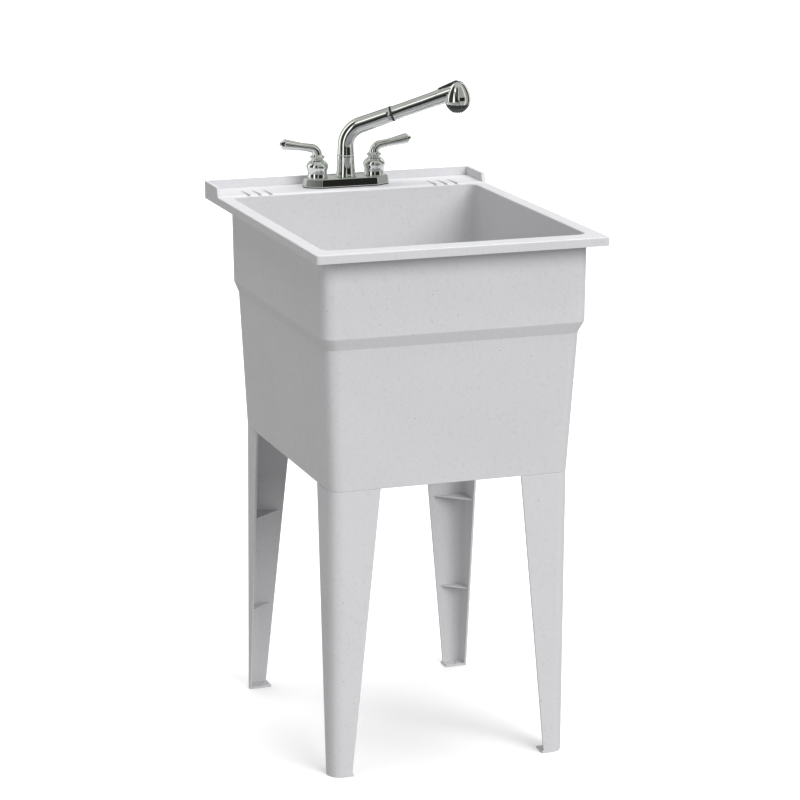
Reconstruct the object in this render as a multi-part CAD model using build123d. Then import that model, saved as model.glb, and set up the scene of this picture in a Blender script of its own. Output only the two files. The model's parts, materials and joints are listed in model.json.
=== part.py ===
from build123d import *
from math import cos, radians, sin, tan
import os

# Utility laundry sink: a moulded tub on four bolted legs, with a two-handle
# centre-set faucet whose spout swings and whose spray wand pulls out.
# Millimetres. X right, Y back, Z up; the origin is on the floor, mid-footprint.

# ---- rim and deck ----------------------------------------------------------
RIM_WIDTH = 478.0
RIM_DEPTH = 640.0
RIM_HEIGHT = 864.0
RIM_CORNER = 5.0
RIM_PLATE = 4.5
RIM_EDGE_ROUND = 2.0
SKIRT_HEIGHT = 14.0
SKIRT_WALL = 4.0
RIM_RIB = 3.0
RIM_RIB_BAYS = 5
OPENING_ROUND = 2.5
DECK_RISE = 1.0
DECK_PLATE = 6.5
DECK_SETBACK = 86.0        # from the back edge to the step up to the deck
SPLASH_HEIGHT = 15.4
SPLASH_WALL = 6.0
WING_TOP = 80.0
WING_FOOT = 86.0
GROOVE_COUNT = 3
GROOVE_SIDE_GAP = 92.0     # from the rim's side to the innermost groove
GROOVE_PITCH = 19.0
GROOVE_RADIUS = 3.6
GROOVE_DEPTH = 3.0
GROOVE_END_GAP = 30.0      # from the back edge to the shallow end of a groove

# ---- tub walls -------------------------------------------------------------
WALL = 4.5
BODY_CORNER = 22.0
RIM_OVER_SIDE = 19.0       # rim past the wall
RIM_OVER_FRONT = 32.5
DECK_DEPTH = 85.5
UPPER_DRAFT = 1.5
UPPER_WALL_HEIGHT = 140.0
STEP_HEIGHT = 19.0
STEP_SIDE = 7.0
STEP_FRONT = 9.5
STEP_BACK = 4.0
APRON_Z = 475.0
LOWER_DRAFT_SIDE = 11.0
LOWER_DRAFT_FRONT = 17.5
LOWER_DRAFT_BACK = 5.0

# ---- basin floor -----------------------------------------------------------
FLOOR_RISE = 45.0          # above the apron's lower edge
FLOOR_FILLET = 18.0
DISH_DROP = 7.0
DISH_SHARE = 0.75          # of the half width
FLOOR_RIB = 3.5
FLOOR_RIB_HEIGHT = 12.0
FLOOR_RIB_OFFSET = 72.0

# ---- legs ------------------------------------------------------------------
LEG_WALL = 4.0
FOOT_INSET_SIDE = 0.5
FOOT_INSET_FRONT = 9.0
FOOT_SPLAY_BACK = 19.0
LEG_FACE_TOP = 83.0
LEG_FACE_FOOT = 35.5
LEG_SIDE_TOP = 72.0
LEG_SIDE_FOOT = 28.0
LEG_RIB = 3.0
GUSSET_REACH = 0.92        # share of the leg's widths
LEG_RIB_SHARES = (0.307, 0.659)   # of the leg's height
FOOT_PLATE = 4.0
FOOT_TAB = 3.0
ANCHOR_HOLE = 7.0
ANCHOR_IN_X = 19.0
ANCHOR_IN_Y = 16.0
WEB = 4.0
TONGUE_WALL = 3.5
TONGUE_HEIGHT = 22.0
TONGUE_GAP = 0.25
TONGUE_SHARE = 0.78        # of the leg's widths
SCREW_SPOTS = ((20.0, 22.0), (46.0, 18.0))
SCREW_DIAMETER = 4.8
SCREW_LENGTH = 26.0
SCREW_HEAD = 9.5
SCREW_HEAD_HEIGHT = 3.2
SCREW_GAP = 0.1
BOSS_DIAMETER = 14.0

# ---- drain -----------------------------------------------------------------
DRAIN_FLANGE = 78.0
DRAIN_FLANGE_THICK = 3.0
DRAIN_RECESS_GAP = 1.0
DRAIN_BODY = 52.0
DRAIN_BODY_WALL = 3.5
DRAIN_BODY_DROP = 42.0
DRAIN_MOUTH = 62.0
DRAIN_HOLE_GAP = 0.5
DRAIN_FLOOR = 6.0
DRAIN_BOSS = 92.0
CROSS_BAR = 3.0
DRAIN_GASKET = 3.0
DRAIN_WASHER = 1.2
LOCKNUT_HEIGHT = 9.0
LOCKNUT_RADIUS = 35.0
LOCKNUT_LUG = 3.5
TAILPIECE_OD = 38.1
TAILPIECE_WALL = 1.5
TAILPIECE_FLANGE = 2.0
TAILPIECE_DROP = 52.0      # below the drain body
TAILPIECE_ROOT = 39.3      # thicker neck inside the slip nut
TAILPIECE_ROOT_DROP = 1.0  # below the slip nut
TAIL_WASHER = 1.6
SLIP_NUT_LIP = 4.0
SLIP_NUT_GRIP = 12.0
SLIP_NUT_WALL = 3.2
SLIP_NUT_RIBS = 8
STOPPER_SEAT_DEPTH = 8.0
STOPPER_HEIGHT = 13.0
STOPPER_TAPER = 1.5
STOPPER_GAP = 0.3
STOPPER_KNOB = 16.0
FIT_GAP = 0.2

# ---- faucet base and waterway ----------------------------------------------
FAUCET_SETBACK = 43.0      # from the back edge
HANDLE_CENTRES = 101.6
DECK_HOLE = 32.0
BASE_WIDTH = 150.0
BASE_DEPTH = 48.0
BASE_HEIGHT = 14.0
BASE_DRAFT = 9.0           # degrees
BASE_CHAMFER_X = 25.0
BASE_CHAMFER_Y = 15.0
BASE_WALL = 2.5
BASE_GASKET = 1.5
BASE_EDGE_ROUND = 1.2
WATERWAY_HEIGHT = 10.5
WATERWAY_WIDTH = 26.0
VALVE_POT = 27.0
VALVE_POT_RISE = 8.0       # above the top of the base
SHANK_DIAMETER = 20.6
SHANK_BORE = 12.0
SHANK_LENGTH = 55.0        # below the top of the deck
SHANK_RELIEF = 3.0         # groove where the thread ends under its nut
SHANK_RELIEF_DEPTH = 0.7
GUIDE_DIAMETER = 23.0
GUIDE_LENGTH = 42.0
MOUNT_WASHER = 1.6
MOUNT_WASHER_OD = 42.0
MOUNT_NUT = 9.0
MOUNT_NUT_OD = 38.0

# ---- valves and handles ----------------------------------------------------
BONNET_FOOT = 34.5
BONNET_BELLY = 38.0
BONNET_BELLY_Z = 20.0
BONNET_SHOULDER = 27.0
BONNET_HEIGHT = 29.5
BONNET_WALL_TOP = 8.0
CARTRIDGE = 21.0
CARTRIDGE_NECK = 15.0
STEM_DIAMETER = 8.0
STEM_RISE = 15.0           # above the bonnet
RUNNING_GAP = 0.05
HANDLE_GAP = 0.4
HANDLE_BEAD = 25.6
HANDLE_BEAD_Z = 6.4        # bead height above the bonnet
HANDLE_NECK = 18.0
LEVER_BEND = 13.0
LEVER_AXIS_Z = 20.4        # bend corner above the bonnet
LEVER_RISE = 10.0           # degrees
LEVER_REACH = 67.0
LEVER_WAIST = 14.0
LEVER_WAIST_AT = 16.0      # past the bend
LEVER_END = 18.0
LEVER_TIP = 9.0
SET_SCREW = 4.0
SET_SCREW_LENGTH = 5.0

# ---- spout -----------------------------------------------------------------
SPOUT_REST_ANGLE = -22.0   # degrees from +X; straight over the basin is -90
COLLAR_FOOT = 35.2
COLLAR_HEIGHT = 36.5
COLLAR_TOP = 29.8
THRUST_WASHER = 0.8
POST_DIAMETER = 24.4
POST_BORE = 15.0
POST_RISE = 18.0           # above the collar
O_RING = 2.1
O_RING_STEP = 9.0
RISER_FOOT = 29.2
TUBE_AT_BEND = 27.6
TUBE_AT_DOCK = 26.0
TUBE_BORE = 19.0
BEND_RADIUS = 38.0
ARM_RISE = 19.8            # degrees
ARM_AXIS_HEIGHT = 95.0     # where the arm's axis meets the riser's, above the deck
ARM_LENGTH = 82.4          # from there to the mouth
DOCK_BORE = 21.6
DOCK_DEPTH = 50.0
DOCK_RING = 3.2
DOCK_RING_OD = 27.2

# ---- spray wand ------------------------------------------------------------
WAND_START_GAP = 0.3
WAND_MOUTH = 25.2
WAND_WAIST = 24.8
WAND_THROAT = 26.2
WAND_THROAT_AT = 168.0     # along the arm's axis
WAND_FLARE = 29.0
WAND_FLARE_AT = 204.0
WAND_BORE = 13.0
SHANK_TUBE = 21.0
SHANK_TUBE_LENGTH = 44.0
HOSE_NIPPLE = 15.0
HOSE_NIPPLE_LENGTH = 7.0
HEAD_REACH = 190.8         # spray axis to riser axis
HEAD_BELLY_HEIGHT = 150.0  # widest level above the deck
HEAD_RADIUS = 22.0
HEAD_CROWN = 30.0          # belly to the top of the head
BEZEL_TOP_DROP = 9.0
BEZEL_GAP = 0.15
FACE_DROP = 15.5           # belly to the bottom of the bezel
FACE_CAVITY = 12.0
FACE_THICK = 5.0
FACE_BULGE = 6.8
FACE_CUT = 2.7             # what the flat spray face takes off the egg's bottom
NOZZLE_RADII = (0.0, 4.0, 8.0)
NOZZLE_COUNTS = (1, 6, 12)
NOZZLE_DIAMETER = 1.9
NOZZLE_LENGTH = 1.4
BUTTON_LENGTH = 38.0
BUTTON_WIDTH = 11.0
BUTTON_TILT = 24.5         # degrees
BUTTON_REACH = 174.2
BUTTON_LEVEL = 175.0       # middle of the button's top face, above the deck
BUTTON_HEIGHT = 5.0
BUTTON_BROW = 8.0          # length of the nose that curves down over the head
BUTTON_BROW_DROP = 4.0
BUTTON_GAP = 0.3
BUTTON_TRAVEL = 2.0

OVER = 40.0                # reach of cutting blocks past what they cut
CUT = 1.0

# ---- levels worked out from the sizes above --------------------------------
DECK_TOP = RIM_HEIGHT + DECK_RISE
BACK_EDGE = RIM_DEPTH / 2
FAUCET_Y = BACK_EDGE - FAUCET_SETBACK
BODY_HALF_WIDTH = RIM_WIDTH / 2 - RIM_OVER_SIDE
BODY_FRONT = BACK_EDGE - RIM_OVER_FRONT
BODY_BACK = BACK_EDGE - DECK_DEPTH
GROOVE_FIRST_X = RIM_WIDTH / 2 - GROOVE_SIDE_GAP
RIM_RIB_PITCH = RIM_WIDTH / RIM_RIB_BAYS
STEP_TOP_Z = RIM_HEIGHT - UPPER_WALL_HEIGHT
STEP_FOOT_Z = STEP_TOP_Z - STEP_HEIGHT
TOP_LEVEL = (RIM_HEIGHT, BODY_HALF_WIDTH, BODY_FRONT, BODY_BACK)
STEP_LEVEL = (STEP_TOP_Z, BODY_HALF_WIDTH - UPPER_DRAFT,
              BODY_FRONT - UPPER_DRAFT, BODY_BACK - UPPER_DRAFT)
WAIST_LEVEL = (STEP_FOOT_Z, STEP_LEVEL[1] - STEP_SIDE,
               STEP_LEVEL[2] - STEP_FRONT, STEP_LEVEL[3] - STEP_BACK)
APRON_LEVEL = (APRON_Z, WAIST_LEVEL[1] - LOWER_DRAFT_SIDE,
               WAIST_LEVEL[2] - LOWER_DRAFT_FRONT, WAIST_LEVEL[3] - LOWER_DRAFT_BACK)
FOOT_LEVEL = (0.0, APRON_LEVEL[1] - FOOT_INSET_SIDE,
              APRON_LEVEL[2] - FOOT_INSET_FRONT, APRON_LEVEL[3] + FOOT_SPLAY_BACK)
CORNERS = {"front_left": (-1, -1), "front_right": (1, -1), "rear_left": (-1, 1), "rear_right": (1, 1)}
FLOOR_Z = APRON_Z + FLOOR_RISE
DISH_RADIUS = BODY_HALF_WIDTH * DISH_SHARE
DRAIN_Y = (BODY_BACK - BODY_FRONT) / 2
DRAIN_SEAT_Z = FLOOR_Z - DISH_DROP - DRAIN_FLANGE_THICK
DRAIN_UNDER_Z = DRAIN_SEAT_Z - DRAIN_FLOOR
DRAIN_BODY_END = DRAIN_UNDER_Z - DRAIN_BODY_DROP + DRAIN_FLOOR
DRAIN_BORE = DRAIN_BODY - 2 * DRAIN_BODY_WALL
SLIP_SEAT_Z = DRAIN_BODY_END - TAIL_WASHER - TAILPIECE_FLANGE
TAILPIECE_END_Z = DRAIN_BODY_END - TAILPIECE_DROP
TAILPIECE_FREE_Z = SLIP_SEAT_Z - SLIP_NUT_LIP - TAILPIECE_ROOT_DROP - (TAILPIECE_ROOT - TAILPIECE_OD) / 2
MOUNT_NUT_LOW = DECK_TOP - DECK_PLATE - MOUNT_WASHER - MOUNT_NUT
SHANK_END_Z = DECK_TOP - SHANK_LENGTH
SHANK_FREE_Z = MOUNT_NUT_LOW - SHANK_RELIEF
BASE_FOOT_Z = DECK_TOP + BASE_GASKET
BASE_TOP = BASE_FOOT_Z + BASE_HEIGHT
BONNET_TOP = BASE_TOP + BONNET_HEIGHT
COLLAR_TOP_Z = BASE_TOP + COLLAR_HEIGHT
RISER_FOOT_Z = COLLAR_TOP_Z + THRUST_WASHER + RUNNING_GAP
ARM_CROSS_Z = DECK_TOP + ARM_AXIS_HEIGHT
HEAD_BELLY_Z = DECK_TOP + HEAD_BELLY_HEIGHT
HEAD_KEEL = FACE_DROP + FACE_BULGE + FACE_CUT
HEAD_FOOT = HEAD_RADIUS * (1 - (FACE_DROP / HEAD_KEEL) ** 2) ** 0.5
FACE_FLAT = HEAD_RADIUS * (1 - ((FACE_DROP + FACE_BULGE) / HEAD_KEEL) ** 2) ** 0.5
WAND_START = ARM_LENGTH + DOCK_RING + WAND_START_GAP


# ---- shared helpers --------------------------------------------------------
def level_at(low, high, z):
    """The tub or leg section at height z, on the straight line between two levels."""
    share = (z - low[0]) / (high[0] - low[0])
    return tuple(a + (b - a) * share for a, b in zip(low, high))


def section(level, inset=0.0):
    """Rounded rectangle at one level, set in from the outer face."""
    z, half, front, back = level
    outline = RectangleRounded(2 * (half - inset), front + back - 2 * inset, BODY_CORNER - inset)
    return Pos(0, (back - front) / 2, z) * outline


def skin(levels, inset=0.0):
    """Solid through a row of levels, straight between each pair."""
    return loft([section(level, inset) for level in levels], ruled=True)


def disc(diameter, z0, z1, x=0.0, y=0.0):
    """Upright cylinder between two heights."""
    return Pos(x, y, (z0 + z1) / 2) * Cylinder(diameter / 2, abs(z1 - z0))


def ring(outer, inner, z0, z1, x=0.0, y=0.0):
    """Upright tube between two heights."""
    low, high = min(z0, z1), max(z0, z1)
    return disc(outer, low, high, x, y) - disc(inner, low - CUT, high + CUT, x, y)


def block(x0, x1, y0, y1, z0, z1):
    """Box between two corners."""
    return Pos((x0 + x1) / 2, (y0 + y1) / 2, (z0 + z1) / 2) * Box(abs(x1 - x0), abs(y1 - y0), abs(z1 - z0))


def turned(*edges, plane=Plane.XZ, axis=Axis.Z):
    """Solid of revolution of a closed outline drawn in a plane."""
    face = make_face(Wire(list(edges)))
    return revolve(plane * face, axis=axis)


def turned_points(points, plane=Plane.XZ, axis=Axis.Z):
    """Solid of revolution of a straight-sided outline."""
    return revolve(plane * make_face(Polyline(*points, close=True)), axis=axis)


# ---- tub -------------------------------------------------------------------
def tub_shell():
    """Rim plate and walls with the basin hollowed out, its mouth rounded over."""
    outline = Pos(0, 0, RIM_HEIGHT - RIM_PLATE) * RectangleRounded(RIM_WIDTH, RIM_DEPTH, RIM_CORNER)
    plate = extrude(outline, RIM_PLATE)
    plate = fillet(plate.edges().group_by(Axis.Z)[-1], RIM_EDGE_ROUND)
    walls = skin([APRON_LEVEL, WAIST_LEVEL, STEP_LEVEL, (RIM_HEIGHT - RIM_PLATE / 2,) + TOP_LEVEL[1:]])
    above = (RIM_HEIGHT + OVER,) + TOP_LEVEL[1:]
    floor = level_at(APRON_LEVEL, WAIST_LEVEL, FLOOR_Z)
    hollow = skin([floor, WAIST_LEVEL, STEP_LEVEL, TOP_LEVEL, above], WALL)
    hollow = fillet(hollow.edges().group_by(Axis.Z)[0], FLOOR_FILLET)
    shell = plate + walls - hollow
    return fillet(shell.edges().filter_by(on_mouth), OPENING_ROUND)


def on_mouth(edge):
    """True for an edge round the basin's mouth, at the top of the rim."""
    middle = edge.center()
    across = abs(middle.X) < BODY_HALF_WIDTH
    along = abs(middle.Y - DRAIN_Y) < (BODY_FRONT + BODY_BACK) / 2
    return across and along and abs(middle.Z - RIM_HEIGHT) < FIT_GAP


def dish(drop, z_edge):
    """Shallow cone of the basin floor, falling to the drain."""
    points = [(0, OVER), (DISH_RADIUS, OVER), (DISH_RADIUS, 0), (DRAIN_FLANGE / 2, -drop), (0, -drop)]
    return Pos(0, DRAIN_Y, z_edge) * turned_points(points)


def under_floor():
    """Room under the basin floor, left open at the bottom inside the apron."""
    top = FLOOR_Z - WALL
    low = level_at(APRON_LEVEL, WAIST_LEVEL, APRON_Z - CUT)
    room = skin([low, level_at(APRON_LEVEL, WAIST_LEVEL, top)], WALL)
    bowl = Pos(0, DRAIN_Y, top) * turned_points(
        [(0, CUT), (DISH_RADIUS, CUT), (DISH_RADIUS, 0), (DRAIN_BOSS / 2, -DISH_DROP), (0, -DISH_DROP)])
    room -= bowl
    room -= disc(DRAIN_BOSS, DRAIN_UNDER_Z, top + CUT, 0, DRAIN_Y)
    low_rib = top - FLOOR_RIB_HEIGHT
    for side in (-1, 1):
        line = side * FLOOR_RIB_OFFSET
        room -= block(line - FLOOR_RIB / 2, line + FLOOR_RIB / 2, -BODY_FRONT, BODY_BACK, low_rib, top + CUT)
        row = DRAIN_Y + line
        room -= block(-BODY_HALF_WIDTH, BODY_HALF_WIDTH,
                      row - FLOOR_RIB / 2, row + FLOOR_RIB / 2, low_rib, top + CUT)
    return room


def screw_points(corner):
    """Plan positions of one leg's screws."""
    side, end = CORNERS[corner]
    reach = APRON_LEVEL[2] if end < 0 else APRON_LEVEL[3]
    return [(side * (APRON_LEVEL[1] - dx), end * (reach - dy)) for dx, dy in SCREW_SPOTS]


def leg_bosses():
    """Screw pillars in the four corners under the floor."""
    pillars = []
    for corner in CORNERS:
        for x, y in screw_points(corner):
            pillar = disc(BOSS_DIAMETER, APRON_Z, FLOOR_Z - WALL / 2, x, y)
            hole = disc(SCREW_DIAMETER + SCREW_GAP, APRON_Z - CUT, APRON_Z + SCREW_LENGTH, x, y)
            pillars.append(pillar - hole)
    return pillars


def rim_skirt():
    """Lip that hangs all round the rim, with stiffening ribs to the walls."""
    low, high = RIM_HEIGHT - SKIRT_HEIGHT, RIM_HEIGHT - RIM_PLATE / 2
    outer = Pos(0, 0, low) * RectangleRounded(RIM_WIDTH, RIM_DEPTH, RIM_CORNER)
    inner = Pos(0, 0, low) * RectangleRounded(
        RIM_WIDTH - 2 * SKIRT_WALL, RIM_DEPTH - 2 * SKIRT_WALL, RIM_CORNER - SKIRT_WALL)
    skirt = extrude(outer - inner, high - low)
    ribs = []
    foot, half = low + 2 * CUT, RIM_RIB / 2
    walls = (BODY_HALF_WIDTH - WALL / 2, WALL / 2 - BODY_FRONT, BODY_BACK - WALL / 2)
    rims = (RIM_WIDTH / 2 - SKIRT_WALL / 2, SKIRT_WALL / 2 - BACK_EDGE, BACK_EDGE - SKIRT_WALL / 2)
    for i in (-2, -1, 0, 1, 2):
        x, y = RIM_RIB_PITCH * i, DRAIN_Y + RIM_RIB_PITCH * i
        for side in (-1, 1):
            ribs.append(block(side * walls[0], side * rims[0], y - half, y + half, foot, high))
        ribs.append(block(x - half, x + half, rims[1], walls[1], foot, high))
        if i != 0:
            ribs.append(block(x - half, x + half, walls[2], rims[2], foot, high))
    return [skirt] + ribs


def backsplash():
    """Raised lip across the back with its two returned wings."""
    low, top = RIM_HEIGHT - SKIRT_HEIGHT, RIM_HEIGHT + SPLASH_HEIGHT
    half = RIM_WIDTH / 2
    front = BACK_EDGE - WING_FOOT
    outline = [(BACK_EDGE, low), (BACK_EDGE, top), (BACK_EDGE - WING_TOP, top),
               (front, RIM_HEIGHT), (front, low)]
    wing = Pos(-half, 0, 0) * extrude(Plane.YZ * make_face(Polyline(*outline, close=True)), SPLASH_WALL)
    lip = block(-half, half, BACK_EDGE - SPLASH_WALL, BACK_EDGE, low, top)
    whole = lip + wing + mirror(wing, Plane.YZ)
    posts = whole.edges().filter_by(Axis.Z).filter_by(lambda e: e.center().Y > BACK_EDGE - 0.1)
    return fillet(posts, RIM_CORNER)


def raised_deck():
    """Thick slab behind the basin that carries the faucet, with a sloped front edge."""
    front = BACK_EDGE - DECK_SETBACK
    back = BACK_EDGE - SPLASH_WALL / 2
    low = DECK_TOP - DECK_PLATE
    outline = [(front, RIM_HEIGHT - CUT), (front, RIM_HEIGHT), (front + 2 * DECK_RISE, DECK_TOP),
               (back, DECK_TOP), (back, low), (front + OVER / 20, low)]
    width = RIM_WIDTH - SPLASH_WALL
    return Pos(-width / 2, 0, 0) * extrude(Plane.YZ * make_face(Polyline(*outline, close=True)), width)


def soap_grooves():
    """Half-round drain grooves that deepen towards the basin."""
    mouth = BODY_BACK - WALL
    end = BACK_EDGE - GROOVE_END_GAP
    fall = GROOVE_DEPTH / (end - mouth)
    grooves = []
    for side in (-1, 1):
        for i in range(GROOVE_COUNT):
            x = side * (GROOVE_FIRST_X + i * GROOVE_PITCH)
            start = Vector(x, end, DECK_TOP + GROOVE_RADIUS)
            path = Vector(0, -1, -fall).normalized()
            run = Plane(origin=start, z_dir=path)
            grooves.append(extrude(run * Circle(GROOVE_RADIUS), end - mouth + OVER / 4))
    return grooves


def tub_basin():
    """The one-piece moulded tub."""
    tub = tub_shell() - dish(DISH_DROP, FLOOR_Z) - under_floor()
    for piece in leg_bosses() + rim_skirt() + [backsplash(), raised_deck()]:
        tub += piece
    mouth = [(z,) + TOP_LEVEL[1:] for z in (RIM_HEIGHT - 2 * RIM_PLATE, RIM_HEIGHT + OVER)]
    hollow = skin(mouth, WALL)
    tub -= hollow
    for groove in soap_grooves():
        tub -= groove
    for x in (-HANDLE_CENTRES / 2, 0, HANDLE_CENTRES / 2):
        tub -= disc(DECK_HOLE, DECK_TOP - OVER, DECK_TOP + CUT, x, FAUCET_Y)
    tub -= disc(DRAIN_FLANGE + DRAIN_RECESS_GAP, DRAIN_SEAT_Z, FLOOR_Z, 0, DRAIN_Y)
    tub -= disc(DRAIN_BODY + 2 * DRAIN_HOLE_GAP, DRAIN_UNDER_Z - CUT, FLOOR_Z, 0, DRAIN_Y)
    return tub


# ---- legs ------------------------------------------------------------------
def corner_block(corner, low, high, widths_low, widths_high):
    """Tapered block that keeps one corner's share of a section."""
    side, end = CORNERS[corner]
    faces = []
    for level, (face, flank) in ((low, widths_low), (high, widths_high)):
        z, half, front, back = level
        reach = front if end < 0 else back
        centre = (side * (half - face / 2 + OVER / 2), end * (reach - flank / 2 + OVER / 2), z)
        faces.append(Pos(*centre) * Rectangle(face + OVER, flank + OVER))
    return loft(faces, ruled=True)


def leg_widths(z):
    """Face and flank widths of a leg at height z."""
    share = z / APRON_Z
    face = LEG_FACE_FOOT + (LEG_FACE_TOP - LEG_FACE_FOOT) * share
    flank = LEG_SIDE_FOOT + (LEG_SIDE_TOP - LEG_SIDE_FOOT) * share
    return face, flank


def leg_gusset(corner, z, thick, share):
    """Level triangular web across the inside of a leg, holding a share of its widths."""
    side, end = CORNERS[corner]
    _, half, front, back = level_at(FOOT_LEVEL, APRON_LEVEL, z)
    reach = front if end < 0 else back
    face, flank = (share * width for width in leg_widths(z))
    root = LEG_WALL / 2
    points = [(side * (half - root), end * (reach - root)),
              (side * (half - face), end * (reach - root)),
              (side * (half - root), end * (reach - flank))]
    return extrude(Pos(0, 0, z) * make_face(Polyline(*points, close=True)), thick)


def leg_screw_holes(corner, diameter, z0, z1):
    """Upright rods at one leg's screw positions."""
    return [disc(diameter, z0, z1, x, y) for x, y in screw_points(corner)]


def leg(corner):
    """Tapered angle-section leg with webs, a foot plate and a tongue into the apron."""
    side, end = CORNERS[corner]
    below = level_at(FOOT_LEVEL, APRON_LEVEL, -CUT)
    above = level_at(FOOT_LEVEL, APRON_LEVEL, APRON_Z + CUT)
    envelope = skin([FOOT_LEVEL, APRON_LEVEL])
    keep = corner_block(corner, below, above, leg_widths(-CUT), leg_widths(APRON_Z + CUT))
    body = (envelope - skin([below, above], LEG_WALL)) & keep
    for height in LEG_RIB_SHARES:
        body += leg_gusset(corner, height * APRON_Z, LEG_RIB, GUSSET_REACH) & envelope
    face, flank = leg_widths(0)
    pad = corner_block(corner, below, level_at(FOOT_LEVEL, APRON_LEVEL, FOOT_PLATE),
                       (face + FOOT_TAB, flank), (face + FOOT_TAB, flank))
    body += pad & envelope & block(-RIM_WIDTH, RIM_WIDTH, -RIM_DEPTH, RIM_DEPTH, 0, FOOT_PLATE)
    body += leg_gusset(corner, APRON_Z - WEB, WEB, 1.0) & envelope
    body += leg_tongue(corner)
    for rod in leg_screw_holes(corner, SCREW_DIAMETER + 2 * FIT_GAP, APRON_Z - OVER / 4, APRON_Z + CUT):
        body -= rod
    half, reach = FOOT_LEVEL[1], FOOT_LEVEL[2] if end < 0 else FOOT_LEVEL[3]
    x, y = side * (half - ANCHOR_IN_X), end * (reach - ANCHOR_IN_Y)
    return body - disc(ANCHOR_HOLE, -CUT, FOOT_PLATE + CUT, x, y)


def leg_tongue(corner):
    """Angle tongue at the top of a leg that fits inside the apron."""
    root = level_at(APRON_LEVEL, WAIST_LEVEL, APRON_Z - WEB / 2)
    tip = level_at(APRON_LEVEL, WAIST_LEVEL, APRON_Z + TONGUE_HEIGHT)
    below, above = level_at(root, tip, root[0] - CUT), level_at(root, tip, tip[0] + CUT)
    band = skin([root, tip], WALL + TONGUE_GAP) - skin([below, above], WALL + TONGUE_GAP + TONGUE_WALL)
    widths = (TONGUE_SHARE * LEG_FACE_TOP, TONGUE_SHARE * LEG_SIDE_TOP)
    return band & corner_block(corner, below, above, widths, widths)


def leg_screws():
    """Pan-head screws up through each leg's top web."""
    seat = APRON_Z - WEB
    screws = []
    for corner in CORNERS:
        for x, y in screw_points(corner):
            head = disc(SCREW_HEAD, seat - SCREW_HEAD_HEIGHT, seat, x, y)
            head = fillet(head.edges().group_by(Axis.Z)[0], SCREW_HEAD_HEIGHT / 3)
            screws.append(head + disc(SCREW_DIAMETER, seat - CUT, APRON_Z + SCREW_LENGTH - 2 * CUT, x, y))
    return Compound(children=screws)


# ---- drain -----------------------------------------------------------------
def drain_strainer():
    """Flanged drain body with a funnel mouth and cross bars."""
    top = DRAIN_SEAT_Z + DRAIN_FLANGE_THICK
    seat_z = top - STOPPER_SEAT_DEPTH
    throat = DRAIN_BORE / 2
    outline = [(DRAIN_MOUTH / 2, top), (DRAIN_FLANGE / 2 - 1, top), (DRAIN_FLANGE / 2, top - 1),
               (DRAIN_FLANGE / 2, DRAIN_SEAT_Z), (DRAIN_BODY / 2, DRAIN_SEAT_Z),
               (DRAIN_BODY / 2, DRAIN_BODY_END), (throat - STOPPER_TAPER, DRAIN_BODY_END),
               (throat - STOPPER_TAPER, seat_z - STOPPER_HEIGHT), (throat, seat_z)]
    body = turned_points(outline)
    bar_z = DRAIN_BODY_END + 2 * CROSS_BAR
    for turn in (0, 90):
        bar = block(-throat, throat, -CROSS_BAR / 2, CROSS_BAR / 2, bar_z, bar_z + CROSS_BAR)
        body += Rot(0, 0, turn) * bar
    return Pos(0, DRAIN_Y, 0) * body


def drain_gasket():
    """Rubber ring under the basin floor."""
    outer, inner = LOCKNUT_RADIUS * 2 + 2, DRAIN_BODY + 2 * FIT_GAP
    return ring(outer, inner, DRAIN_UNDER_Z - DRAIN_GASKET, DRAIN_UNDER_Z, 0, DRAIN_Y)


def drain_washer():
    """Fibre ring between the rubber and the locknut."""
    top = DRAIN_UNDER_Z - DRAIN_GASKET
    return ring(LOCKNUT_RADIUS * 2, DRAIN_BODY + 2 * FIT_GAP, top - DRAIN_WASHER, top, 0, DRAIN_Y)


def drain_locknut():
    """Notched ring nut that clamps the drain to the floor."""
    top = DRAIN_UNDER_Z - DRAIN_GASKET - DRAIN_WASHER
    low = top - LOCKNUT_HEIGHT
    nut = ring(LOCKNUT_RADIUS * 2 - 2 * LOCKNUT_LUG, DRAIN_BODY + 2 * FIT_GAP, low, top)
    lug = block(LOCKNUT_RADIUS - 2 * LOCKNUT_LUG, LOCKNUT_RADIUS, -LOCKNUT_LUG, LOCKNUT_LUG, low, top)
    for turn in range(0, 360, 60):
        nut += Rot(0, 0, turn) * lug
    return Pos(0, DRAIN_Y, 0) * nut


def tail_washer():
    """Flat washer between the drain body and the tailpiece flange."""
    bore = TAILPIECE_OD - 2 * TAILPIECE_WALL
    return ring(DRAIN_BODY, bore, DRAIN_BODY_END - TAIL_WASHER, DRAIN_BODY_END, 0, DRAIN_Y)


def tailpiece():
    """Flanged tube that the trap connects to."""
    top = DRAIN_BODY_END - TAIL_WASHER
    bore, free, root = TAILPIECE_OD / 2 - TAILPIECE_WALL, TAILPIECE_OD / 2, TAILPIECE_ROOT / 2
    outline = [(bore, top), (DRAIN_BODY / 2, top), (DRAIN_BODY / 2, SLIP_SEAT_Z), (root, SLIP_SEAT_Z),
               (root, TAILPIECE_FREE_Z + root - free), (free, TAILPIECE_FREE_Z),
               (free, TAILPIECE_END_Z), (bore, TAILPIECE_END_Z)]
    return Pos(0, DRAIN_Y, 0) * turned_points(outline)


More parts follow.
